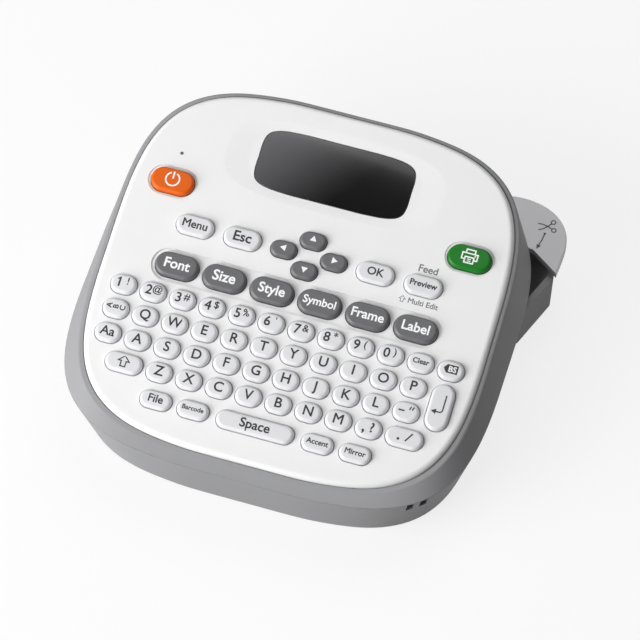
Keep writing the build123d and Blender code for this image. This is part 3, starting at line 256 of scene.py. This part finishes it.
def worked_metal(name, dark, light, line_mm=0.4, along=(1.0, 12.0, 12.0)):
    """Bare metal: fine lines along the way it was rolled or ground, or an even mottle where it is plated.

    The real lines are too fine to show, so they are drawn coarser.
    """
    material, tree, shader = surface(name, {"Metallic": 1.0, "Anisotropic": 0.4})
    place = add(tree, "ShaderNodeTexCoord").outputs["Object"]
    drawn = add(tree, "ShaderNodeVectorMath", {0: place, 1: along}, operation="MULTIPLY")
    lines = add(tree, "ShaderNodeTexNoise",
                {"Vector": drawn.outputs[0], "Scale": per_mm(line_mm) / max(along), "Detail": 3.0})
    tree.links.new(shade_between(tree, lines.outputs[0], dark, light), shader.inputs["Base Color"])
    tree.links.new(value_between(tree, lines.outputs[0], 0.25, 0.42), shader.inputs["Roughness"])
    grain_bump(tree, shader, lines.outputs[0], depth_mm=0.005, strength=0.3)
    return material


def printed_cell():
    """A dry cell: a printed wrap round the side, bare nickel on its two ends."""
    material, tree, shader = surface("Printed steel can, lacquered", {"Coat Weight": 0.3})
    normal = add(tree, "ShaderNodeNewGeometry").outputs["Normal"]
    axes = add(tree, "ShaderNodeSeparateXYZ", {"Vector": normal})
    along = add(tree, "ShaderNodeMath", {0: axes.outputs[1]}, operation="ABSOLUTE")
    nearly_square = 0.9
    end = add(tree, "ShaderNodeMath", {0: along.outputs[0], 1: nearly_square}, operation="GREATER_THAN")
    place = add(tree, "ShaderNodeTexCoord").outputs["Object"]
    mottle = add(tree, "ShaderNodeTexNoise", {"Vector": place, "Scale": per_mm(5), "Detail": 3.0})
    wrap = shade_between(tree, mottle.outputs[0], "#2C2D31", "#3A3B40")
    nickel = shade_between(tree, mottle.outputs[0], "#B4B2AC", "#CBC9C3")
    colour = add(tree, "ShaderNodeMix", {"Factor": end.outputs[0]}, data_type="RGBA")
    tree.links.new(wrap, colour.inputs[MIX_FIRST])
    tree.links.new(nickel, colour.inputs[MIX_SECOND])
    tree.links.new(colour.outputs[MIX_RESULT], shader.inputs["Base Color"])
    tree.links.new(end.outputs[0], shader.inputs["Metallic"])
    tree.links.new(value_between(tree, mottle.outputs[0], 0.28, 0.4), shader.inputs["Roughness"])
    return material


def wound_film(name, node, dark, light, turn_mm=0.7):
    """Film wound on a core: fine rings on its flat ends.

    One layer is about 0.15 mm, too fine to show, so the rings are drawn coarser.
    """
    material, tree, shader = surface(name, {"IOR": 1.5, "Roughness": 0.32})
    low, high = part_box(node)
    middle = (low + high) / 2
    place = add(tree, "ShaderNodeTexCoord").outputs["Object"]
    centred = add(tree, "ShaderNodeVectorMath", {0: place, 1: middle}, operation="SUBTRACT")
    rings = add(tree, "ShaderNodeTexWave",
                {"Vector": centred.outputs[0], "Scale": per_mm(turn_mm) / (2 * pi), "Distortion": 0.3},
                wave_type="RINGS", rings_direction="Z")
    tree.links.new(shade_between(tree, rings.outputs["Fac"], dark, light), shader.inputs["Base Color"])
    grain_bump(tree, shader, rings.outputs["Fac"], depth_mm=0.02, strength=0.3)
    return material


def solder_mask_board():
    """Glass-fibre board: green lacquer that shows the copper tracks below as paler lines."""
    material, tree, shader = surface("Glass-fibre board, green lacquer", {"IOR": 1.5, "Coat Weight": 0.4})
    place = add(tree, "ShaderNodeTexCoord").outputs["Object"]
    tracks = add(tree, "ShaderNodeTexBrick",
                 {"Vector": place, "Scale": per_mm(9), "Mortar Size": 0.06, "Mortar Smooth": 0.1,
                  "Color1": linear("#0E4A2A"), "Color2": linear("#125532"), "Mortar": linear("#2C7A4C")})
    weave = add(tree, "ShaderNodeTexNoise", {"Vector": place, "Scale": per_mm(1), "Detail": 2.0})
    tree.links.new(tracks.outputs["Color"], shader.inputs["Base Color"])
    tree.links.new(value_between(tree, weave.outputs[0], 0.3, 0.42), shader.inputs["Roughness"])
    grain_bump(tree, shader, tracks.outputs["Fac"], depth_mm=0.03, strength=0.4)
    return material


def screen_ink(name, dark, light):
    """Pad-printed ink: an even, slightly matt film with a faint mottle."""
    material, tree, shader = surface(name, {"IOR": 1.5})
    place = add(tree, "ShaderNodeTexCoord").outputs["Object"]
    mottle = add(tree, "ShaderNodeTexNoise", {"Vector": place, "Scale": per_mm(0.8), "Detail": 2.0})
    tree.links.new(shade_between(tree, mottle.outputs[0], dark, light), shader.inputs["Base Color"])
    tree.links.new(value_between(tree, mottle.outputs[0], 0.5, 0.62), shader.inputs["Roughness"])
    return material


CASE_GREY = moulded_plastic("ABS, moulded, mid grey", "#939395", "#98989A", roughness=(0.5, 0.6),
                            gloss=0.25)
PANEL_WHITE = moulded_plastic("ABS, moulded, white", "#E9E9E9", "#EDEDED", roughness=(0.34, 0.42))
KEY_WHITE = moulded_plastic("ABS, moulded, key white", "#D9D9DC", "#DFDFE1", roughness=(0.38, 0.48))
KEY_GREY = moulded_plastic("ABS, moulded, dark grey", "#626264", "#69696B", roughness=(0.34, 0.44))
KEY_ORANGE = moulded_plastic("ABS, moulded, orange", "#DA5D09", "#DF630C", roughness=(0.3, 0.4), gloss=0.25)
KEY_GREEN = moulded_plastic("ABS, moulded, green", "#17711E", "#1B7923", roughness=(0.3, 0.4), gloss=0.25)
WINDOW_SMOKE_WITH_PAINTED_REFLECTION = smoked_acrylic_with_painted_reflection()
LIGHT_PIPE = soft_plastic("Acrylic light pipe, moulded", "#57575A", "#606064", 0.5)
LEVER_PALE = soft_plastic("Polypropylene lever, moulded", "#EEEEF0", "#F3F3F5")
MAT_RUBBER = silicone_rubber("Silicone rubber, moulded", "#8C8E90", "#979A9C")
FOOT_RUBBER = silicone_rubber("Rubber feet, moulded", "#333335", "#3D3D40")
ROLLER_RUBBER = silicone_rubber("Roller rubber, ground", "#2B2B2D", "#333336")
BOARD_GREEN = solder_mask_board()
DISPLAY_GLASS = moulded_plastic("Display glass, polarised", "#4E554C", "#596157", roughness=(0.1, 0.18))
SHEET_STEEL = worked_metal("Sheet steel, rolled", "#9FA1A4", "#B9BBBE")
BLADE_STEEL = worked_metal("Blade steel, ground", "#B8BABD", "#D2D4D6", 0.3, (12.0, 12.0, 1.0))
ZINC_STEEL = worked_metal("Steel, zinc plated", "#B0B2B4", "#C6C8CA", 0.8, (1.0, 1.0, 1.0))
SPRING_STEEL = worked_metal("Spring steel, nickel plated", "#C2C0BA", "#D8D6D0", 0.6, (1.0, 1.0, 1.0))
HEAT_SINK = worked_metal("Aluminium, extruded", "#C4C6C8", "#D6D8DA", 0.5, (12.0, 12.0, 1.0))
CELL_WRAP = printed_cell()
BLACK_NYLON = moulded_plastic("Nylon, moulded, black", "#1C1C1E", "#232325", roughness=(0.4, 0.55))
GEAR_ACETAL = soft_plastic("Acetal, moulded", "#E2DFD4", "#EAE7DD")
CASSETTE_GREY = moulded_plastic("ABS, moulded, cassette grey", "#5A5B5F", "#626368")
TAPE_FILM = wound_film("Label film, wound", "tape_roll", "#DADAD4", "#F0F0EC")
FLAT_FILM = screen_ink("Label film, laminated", "#F0F0EE", "#F4F4F2")
FRESH_RIBBON = wound_film("Ink ribbon, wound", "ribbon_supply_spool", "#141416", "#232326", 0.5)
USED_RIBBON = wound_film("Ink ribbon, wound up again", "ribbon_take_up_spool", "#1A1A1C", "#2B2B2E", 0.5)
DARK_INK = screen_ink("Dark grey ink, pad printed", "#2E2E30", "#363639")
PALE_INK = screen_ink("Mid grey ink, pad printed", "#6C6C6E", "#767678")
WHITE_INK = screen_ink("White ink, pad printed", "#F0F0F0", "#F8F8F8")
LEVER_INK = screen_ink("Grey ink, pad printed", "#5C5C5E", "#656567")

FINISHES = {
    "lower_case": CASE_GREY, "upper_case": CASE_GREY, "bottom_cover": CASE_GREY, "face_panel": PANEL_WHITE,
    "display_window": WINDOW_SMOKE_WITH_PAINTED_REFLECTION, "display_module": DISPLAY_GLASS, "status_light": LIGHT_PIPE,
    "key_mat": MAT_RUBBER, "main_board": BOARD_GREEN, "case_screws": ZINC_STEEL, "rubber_feet": FOOT_RUBBER,
    "batteries": CELL_WRAP, "battery_contacts": SPRING_STEEL, "power_socket": BLACK_NYLON,
    "cassette_case": CASSETTE_GREY, "tape_roll": TAPE_FILM, "label_tape": FLAT_FILM,
    "ribbon_supply_spool": FRESH_RIBBON, "ribbon_take_up_spool": USED_RIBBON, "chassis": SHEET_STEEL,
    "drive_motor": SHEET_STEEL, "motor_pinion": GEAR_ACETAL, "idler_gear": GEAR_ACETAL,
    "platen_roller": ROLLER_RUBBER, "ribbon_spindle": GEAR_ACETAL, "roller_holder": BLACK_NYLON,
    "print_head": HEAT_SINK, "cutter_lever": LEVER_PALE, "moving_blade": BLADE_STEEL,
    "fixed_blade": BLADE_STEEL, "power_key": KEY_ORANGE, "print_key": KEY_GREEN,
}
GREY_KEYS = ("font_key", "size_key", "style_key", "symbol_key", "frame_key", "label_key",
             "left_key", "right_key", "up_key", "down_key")


def finish_of(name):
    """The finish of a part."""
    if name in FINISHES:
        return FINISHES[name]
    return KEY_GREY if name in GREY_KEYS else KEY_WHITE


for node_name, node in nodes.items():
    node.data.materials.clear()
    node.data.materials.append(finish_of(node_name))


# Printed work, drawn flat in millimetres and then laid on the surface below it

panel_low, panel_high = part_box("face_panel")
panel_middle = (panel_low + panel_high) / 2
PANEL_TILT = Matrix.Rotation(radians(PANEL_SLOPE), 4, "X")
PANEL = Matrix.Translation((panel_middle.x, 0, PANEL_HEIGHT * MM)) @ PANEL_TILT


def thicken(mesh, grow):
    """Moves the rim of flat letters outwards, so that every stem gains twice that width."""
    shape = bmesh.new()
    shape.from_mesh(mesh)
    bmesh.ops.remove_doubles(shape, verts=shape.verts[:], dist=LETTER_WELD)
    outward = {}
    for edge in shape.edges:
        if not edge.is_boundary:
            continue
        start, end = edge.verts
        along = (end.co - start.co).normalized()
        away = Vector((along.y, -along.x, 0))
        inside = edge.link_faces[0].calc_center_median() - start.co
        if away.dot(inside) > 0:
            away = -away
        for vertex in edge.verts:
            outward.setdefault(vertex, []).append(away)
    for vertex, sides in outward.items():
        middle = (sides[0] + sides[-1]).normalized()
        vertex.co += middle * grow / max(middle.dot(sides[0]), CORNER_LIMIT)
    shape.to_mesh(mesh)
    shape.free()


def flat_text(words, bold):
    """A flat mesh of the words at a nominal height of 1, centred across, standing on its base line."""
    curve = bpy.data.curves.new("words", "FONT")
    curve.body = words
    curve.align_x = "CENTER"
    curve.resolution_u = LETTER_CURVE_STEPS
    holder = bpy.data.objects.new("words", curve)
    bpy.context.scene.collection.objects.link(holder)
    settled = holder.evaluated_get(bpy.context.evaluated_depsgraph_get())
    mesh = bpy.data.meshes.new_from_object(settled)
    bpy.data.objects.remove(holder)
    bpy.data.curves.remove(curve)
    thicken(mesh, bold)
    return mesh


def mesh_width(mesh):
    """How far a mesh reaches from left to right."""
    across = [v.co.x for v in mesh.vertices]
    return max(across) - min(across)


CAP_RATIO = max(v.co.y for v in flat_text("H", 0).vertices)


def letter(art, words, cap, place=(0, 0), turn=0, bold=MEDIUM, width=None):
    """Adds words to the artwork, centred on a place, with capitals of a height or fitted to a width."""
    mesh = flat_text(words, bold)
    size = cap / CAP_RATIO if width is None else width / mesh_width(mesh)
    lift = Matrix.Translation((0, -CAP_RATIO / 2, 0))
    spin = Matrix.Rotation(radians(turn), 4, "Z")
    mesh.transform(Matrix.Translation((*place, 0)) @ spin @ Matrix.Scale(size, 4) @ lift)
    art.from_mesh(mesh)
    bpy.data.meshes.remove(mesh)


def patch(art, points):
    """Adds a filled shape with straight edges."""
    art.faces.new([art.verts.new((x, y, 0)) for x, y in points])


def stroke(art, points, width=STROKE, closed=False):
    """Adds a line of even width along some points."""
    path = [Vector(p) for p in points]
    count = len(path)
    pairs = []
    for i, point in enumerate(path):
        before = path[i - 1] if closed or i > 0 else point
        after = path[(i + 1) % count] if closed or i < count - 1 else point
        first = (point - before).normalized() if point != before else (after - point).normalized()
        second = (after - point).normalized() if point != after else first
        middle = (first + second).normalized()
        side = Vector((-middle.y, middle.x)) * (width / 2 / max(middle.dot(first), CORNER_LIMIT))
        pairs.append([art.verts.new((*(point + side), 0)), art.verts.new((*(point - side), 0))])
    for i in range(count if closed else count - 1):
        here, there = pairs[i], pairs[(i + 1) % count]
        art.faces.new((here[0], here[1], there[1], there[0]))


def arc(radius, start, end, middle=(0, 0), steps=24):
    """Points along part of a circle, between two directions in degrees."""
    turns = [radians(start + (end - start) * i / steps) for i in range(steps + 1)]
    return [(middle[0] + radius * cos(t), middle[1] + radius * sin(t)) for t in turns]


def laid_on(art, node, place, frame_matrix, lift=INK_LIFT):
    """Lays flat artwork on a part's surface, seen square to a frame."""
    bmesh.ops.triangulate(art, faces=art.faces[:])
    long_edges = [e for e in art.edges if e.calc_length() > INK_STEP]
    bmesh.ops.subdivide_edges(art, edges=long_edges, cuts=INK_CUTS)
    bmesh.ops.triangulate(art, faces=art.faces[:])
    tree = BVHTree.FromObject(nodes[node], bpy.context.evaluated_depsgraph_get())
    out = (frame_matrix.to_3x3() @ Vector((0, 0, 1))).normalized()
    for vert in art.verts:
        flat = Vector((place[0] + vert.co.x, place[1] + vert.co.y, PRINT_REACH))
        above = frame_matrix @ (flat * MM)
        hit = tree.ray_cast(above, -out)[0]
        if hit is None:
            raise ValueError(f"the print on {node} hangs over its edge")
        vert.co = hit + out * lift * MM
    for face in art.faces:
        face.normal_update()
        if face.normal.dot(out) < 0:
            face.normal_flip()


def printed(name, art, body, ink):
    """Makes the laid artwork a thin film of ink that moves with its body."""
    mesh = bpy.data.meshes.new(name)
    art.to_mesh(mesh)
    art.free()
    mesh.materials.append(ink)
    piece = bpy.data.objects.new(name, mesh)
    bpy.context.scene.collection.objects.link(piece)
    film = piece.modifiers.new("ink film", "SOLIDIFY")
    film.thickness = INK_FILM * MM
    film.offset = -1
    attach(piece, body)


def key_middle(node):
    """Middle of a key part on the panel's face, in millimetres across and up."""
    flat = [PANEL.inverted() @ v.co for v in nodes[node].data.vertices]
    middle = [(min(p[i] for p in flat) + max(p[i] for p in flat)) / 2 / MM for i in (0, 1)]
    return middle[0], middle[1] + LEGEND_LIFT


def join(parts):
    """One artwork from several that are already laid."""
    whole = bmesh.new()
    for part in parts:
        sheet = bpy.data.meshes.new("sheet")
        part.to_mesh(sheet)
        part.free()
        whole.from_mesh(sheet)
        bpy.data.meshes.remove(sheet)
    return whole


def print_key(node, draw, ink=DARK_INK):
    """Prints one key: draw fills an artwork centred on the key."""
    art = bmesh.new()
    draw(art)
    laid_on(art, node, key_middle(node), PANEL)
    printed("legend_" + node, art, node, ink)


def row_place(node, index, count):
    """Place of one key of a row that shares a part."""
    across, up = key_middle(node)
    return across + (index - (count - 1) / 2) * KEY_PITCH, up


def print_row(node, draws):
    """Prints a row of keys that share one part, from left to right."""
    sheets = []
    for i, draw in enumerate(draws):
        art = bmesh.new()
        draw(art)
        laid_on(art, node, row_place(node, i, len(draws)), PANEL)
        sheets.append(art)
    printed("legend_" + node, join(sheets), node, DARK_INK)


def word(words, width, bold):
    """Draws a word of a given width."""
    return lambda art: letter(art, words, None, bold=bold, width=width)


def capital(words):
    """Draws one letter of the letter keys."""
    return lambda art: letter(art, words, LETTER_CAP)


def digit_and_symbol(digit, symbol):
    """Draws a digit with a smaller symbol to its upper right."""
    def draw(art):
        letter(art, digit, DIGIT_CAP, DIGIT_PLACE)
        letter(art, symbol, SYMBOL_CAP, SYMBOL_PLACE)
        # The typeface's 1 is a bare bar, so it gets its flag here
        if digit == "1":
            stroke(art, [(-1.4, DIGIT_CAP / 2 - 0.2), (-2.4, DIGIT_CAP / 2 - 0.8)], THIN_STROKE)
    return draw


def turned_letters(art):
    """Draws three letters that lie on their backs, for text that runs downwards."""
    for i, one in enumerate("ABC"):
        letter(art, one, TURNED_CAP, ((i - 1) * TURNED_STEP, 0), turn=90, bold=SMALL_BOLD)


def dash_and_quote(art):
    """Draws a dash and a double quote."""
    stroke(art, [(-2.7, -0.3), (-0.5, -0.3)])
    for i in (0, 1):
        stroke(art, [(1.1 + i * 1.0, 0.4), (1.5 + i * 1.0, 1.7)], SIGN_STROKE)


def comma_and_query(art):
    """Draws a comma and a question mark."""
    letter(art, ",", COMMA_CAP, COMMA_PLACE)
    letter(art, "?", DIGIT_CAP, QUERY_PLACE)


def stop_and_slash(art):
    """Draws a full stop and a slash."""
    patch(art, arc(0.5, 0, 350, (-2.0, -1.3), 12))
    stroke(art, [(0.6, -1.6), (2.6, 1.6)])


def back_space(art):
    """Draws a filled tag that points to the left."""
    patch(art, [(-2.7, 0), (-1.5, 1.6), (2.5, 1.6), (2.5, -1.6), (-1.5, -1.6)])


def shift_arrow(size):
    """Draws a hollow arrow that points up."""
    shape = [(0, 1.0), (1.0, 0.0), (0.45, 0.0), (0.45, -1.0), (-0.45, -1.0), (-0.45, 0.0), (-1.0, 0.0)]
    return lambda art: stroke(art, [(x * size, y * size) for x, y in shape], ARROW_LINE * size, closed=True)


def enter_arrow(art):
    """Draws a line that turns at its foot and ends in an arrow head to the left."""
    bend = arc(1.0, 0, -90, (0.3, -1.3), 8)
    stroke(art, [(1.3, 4.2), (1.3, -1.3)] + bend + [(-1.2, -2.3)], SIGN_STROKE)
    patch(art, [(-2.7, -2.3), (-0.9, -1.3), (-0.9, -3.3)])


def pointer(direction):
    """Draws a filled triangle that points in a direction in degrees."""
    return lambda art: patch(art, arc(POINTER, direction, direction + 240, steps=2))


def power_sign(art):
    """Draws a ring that is open at the top, with a bar in the opening."""
    stroke(art, arc(2.5, 115, 425, steps=40))
    stroke(art, [(0, 0.2), (0, 2.9)], BAR_STROKE)


def printer_sign(art):
    """Draws a printer: paper above, body in the middle, sheet coming out below."""
    stroke(art, [(-1.6, 1.1), (-1.6, 2.5), (1.6, 2.5), (1.6, 1.1)], SIGN_STROKE)
    body = [(-1.6, -1.2), (-2.8, -1.2), (-2.8, 1.1), (2.8, 1.1), (2.8, -1.2), (1.6, -1.2)]
    stroke(art, body, SIGN_STROKE)
    stroke(art, [(-1.6, -0.3), (1.6, -0.3), (1.6, -2.5), (-1.6, -2.5)], SIGN_STROKE, closed=True)
    for line in (-1.1, -1.8):
        stroke(art, [(-0.7, line), (0.7, line)], FINE_STROKE)
    patch(art, arc(0.32, 0, 350, (1.9, 0.4), 10))


DIGIT_KEYS = ("1!", "2@", "3#", "4$", "5%", "6'", "7&", "8*", "9(", "0)")
number_row = [digit_and_symbol(*pair) for pair in DIGIT_KEYS] + [word("Clear", 6.0, SMALL_BOLD), back_space]
print_row("number_row_keys", number_row)
print_row("upper_row_keys", [turned_letters] + [capital(c) for c in "QWERTYUIOP"])
home_letters = [capital(c) for c in "ASDFGHJKL"]
print_row("home_row_keys", [word("Aa", 5.4, MEDIUM)] + home_letters + [dash_and_quote])
print_row("lower_row_keys", [capital(c) for c in "ZXCVBNM"] + [comma_and_query])

tag_letters = bmesh.new()
letter(tag_letters, "BS", TAG_CAP, TAG_PLACE, bold=BOLD)
last_place = row_place("number_row_keys", len(number_row) - 1, len(number_row))
laid_on(tag_letters, "number_row_keys", last_place, PANEL, INK_LIFT + INK_FILM)
printed("legend_back_space", tag_letters, "number_row_keys", WHITE_INK)

print_key("shift_key", shift_arrow(SHIFT_ARROW))
print_key("stop_key", stop_and_slash)
print_key("enter_key", enter_arrow)

WORD_KEYS = {
    "menu_key": ("Menu", 9.2), "escape_key": ("Esc", 6.6), "ok_key": ("OK", 6.2),
    "file_key": ("File", 5.4), "space_key": ("Space", 11.0),
}
SMALL_WORD_KEYS = {
    "preview_key": ("Preview", 10.0), "barcode_key": ("Barcode", 7.9), "accent_key": ("Accent", 8.0),
    "mirror_key": ("Mirror", 7.6),
}
FUNCTION_KEYS = {
    "font_key": ("Font", 9.4), "size_key": ("Size", 8.4), "style_key": ("Style", 9.8),
    "symbol_key": ("Symbol", 12.0), "frame_key": ("Frame", 11.9), "label_key": ("Label", 10.0),
}
for key, (words, width) in WORD_KEYS.items():
    print_key(key, word(words, width, BOLD))
for key, (words, width) in SMALL_WORD_KEYS.items():
    print_key(key, word(words, width, SMALL_BOLD))
for key, (words, width) in FUNCTION_KEYS.items():
    print_key(key, word(words, width, BOLD), WHITE_INK)
for key, direction in (("up_key", 90), ("down_key", 270), ("left_key", 180), ("right_key", 0)):
    print_key(key, pointer(direction), WHITE_INK)
print_key("power_key", power_sign, WHITE_INK)
print_key("print_key", printer_sign, WHITE_INK)


# Words on the panel above and below the preview key

WORDS_ABOVE = 6.2
WORDS_ABOVE_WIDTH = 7.0
WORDS_BELOW = -6.6
WORDS_BELOW_WIDTH = 11.0
WORDS_BELOW_SHIFT = 1.6
PANEL_ARROW_SHIFT = -6.0


def panel_words():
    """Prints the two second uses of the preview key on the panel."""
    across, up = key_middle("preview_key")
    art = bmesh.new()
    letter(art, "Feed", None, (0, WORDS_ABOVE), width=WORDS_ABOVE_WIDTH)
    letter(art, "Multi Edit", None, (WORDS_BELOW_SHIFT, WORDS_BELOW), width=WORDS_BELOW_WIDTH)
    tip = bmesh.new()
    shift_arrow(SMALL_ARROW)(tip)
    laid_on(art, "face_panel", (across, up), PANEL)
    laid_on(tip, "face_panel", (across + PANEL_ARROW_SHIFT, up + WORDS_BELOW), PANEL)
    printed("panel_words", join([art, tip]), "body", PALE_INK)


panel_words()


# Scissors and an arrow on the cutter lever

LEVER_SIGN_PLACE = (72.1, 61.9)
SCISSORS_TURN = 17.0


def lever_sign():
    """Prints open scissors, and an arrow that shows which way to push."""
    art = bmesh.new()
    for side in (-1, 1):
        stroke(art, arc(0.8, 0, 340, (2.4, side * 1.7), 20), LOOP_STROKE, closed=True)
        blade = [(1.75, side * 1.2), (0.3, 0), (-1.4, side * -0.9), (-3.2, side * -1.4)]
        stroke(art, blade, THIN_STROKE)
    bmesh.ops.rotate(art, verts=art.verts[:], matrix=Matrix.Rotation(radians(SCISSORS_TURN), 3, "Z"))
    stroke(art, [(0.0, -3.2), (-0.3, -6.0), (-0.9, -8.6)], THIN_STROKE)
    patch(art, [(-1.2, -10.3), (0.0, -8.6), (-1.7, -8.2)])
    patch(art, arc(0.45, 0, 330, (0.0, -3.2), 10))
    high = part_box("cutter_lever")[1].z
    laid_on(art, "cutter_lever", LEVER_SIGN_PLACE, Matrix.Translation((0, 0, high)))
    printed("lever_sign", art, "lever", LEVER_INK)


lever_sign()


# Studio

def white_floor():
    """A floor that looks white, still takes the shadow, and throws little light on the object."""
    material = bpy.data.materials.new("White paper sweep")
    material.use_nodes = True
    tree = material.node_tree
    tree.nodes.clear()
    place = add(tree, "ShaderNodeTexCoord").outputs["Object"]
    fibre = add(tree, "ShaderNodeTexNoise", {"Vector": place, "Scale": per_mm(3), "Detail": 2.0})
    dim = shade_between(tree, fibre.outputs[0], "#989898", "#9D9D9D")
    bright = shade_between(tree, fibre.outputs[0], "#EFEFEF", "#F4F4F4")
    bounced = add(tree, "ShaderNodeBsdfDiffuse", {"Color": dim})
    shadowed = add(tree, "ShaderNodeBsdfDiffuse", {"Color": bright})
    glow = add(tree, "ShaderNodeEmission", {"Color": WHITE, "Strength": 1.0})
    shown = add(tree, "ShaderNodeMixShader", {0: FLOOR_GLOW, 1: shadowed.outputs[0], 2: glow.outputs[0]})
    path = add(tree, "ShaderNodeLightPath")
    rays = {0: path.outputs["Is Camera Ray"], 1: path.outputs["Is Glossy Ray"]}
    seen = add(tree, "ShaderNodeMath", rays, operation="MAXIMUM")
    parts = {0: seen.outputs[0], 1: bounced.outputs[0], 2: shown.outputs[0]}
    both = add(tree, "ShaderNodeMixShader", parts)
    add(tree, "ShaderNodeOutputMaterial", {"Surface": both.outputs[0]})
    half = FLOOR_WIDTH / 2 * MM
    mesh = bpy.data.meshes.new("floor")
    corners = [(-half, -half, 0), (half, -half, 0), (half, half, 0), (-half, half, 0)]
    mesh.from_pydata(corners, [], [(0, 1, 2, 3)])
    mesh.materials.append(material)
    floor = bpy.data.objects.new("floor", mesh)
    bpy.context.scene.collection.objects.link(floor)


def sky():
    """Even white light from all round, and a white background."""
    world = bpy.data.worlds.new("studio")
    bpy.context.scene.world = world
    world.use_nodes = True
    tree = world.node_tree
    tree.nodes.clear()
    path = add(tree, "ShaderNodeLightPath")
    strength = add(tree, "ShaderNodeMapRange",
                   {"Value": path.outputs["Is Camera Ray"], "To Min": SKY_STRENGTH, "To Max": 1.0})
    light = add(tree, "ShaderNodeBackground", {"Color": WHITE, "Strength": strength.outputs[0]})
    add(tree, "ShaderNodeOutputWorld", {"Surface": light.outputs[0]})


def soft_lamp(name, place, watts):
    """A large soft lamp that faces the object."""
    lamp = bpy.data.lights.new(name, "AREA")
    lamp.size = LAMP_WIDTH * MM
    lamp.energy = watts
    holder = bpy.data.objects.new(name, lamp)
    bpy.context.scene.collection.objects.link(holder)
    holder.location = Vector(place) * MM
    holder.rotation_euler = (-holder.location).to_track_quat("-Z", "Y").to_euler()


def photo_camera():
    """The camera of the photograph: far off, high on the right, with a long lens."""
    lens = bpy.data.cameras.new("camera")
    lens.lens = CAMERA_LENS
    lens.sensor_width = CAMERA_SENSOR
    camera = bpy.data.objects.new("camera", lens)
    bpy.context.scene.collection.objects.link(camera)
    turn, rise = radians(CAMERA_AZIMUTH), radians(CAMERA_ELEVATION)
    away = Vector((sin(turn) * cos(rise), -cos(turn) * cos(rise), sin(rise)))
    camera.location = (Vector(CAMERA_TARGET) + away * CAMERA_DISTANCE) * MM
    camera.rotation_euler = (-away).to_track_quat("-Z", "Y").to_euler()
    bpy.context.scene.camera = camera


white_floor()
sky()
soft_lamp("left lamp", LEFT_LAMP_PLACE, LEFT_LAMP_WATTS)
soft_lamp("back lamp", BACK_LAMP_PLACE, BACK_LAMP_WATTS)
photo_camera()
bpy.context.scene.view_settings.view_transform = "Standard"
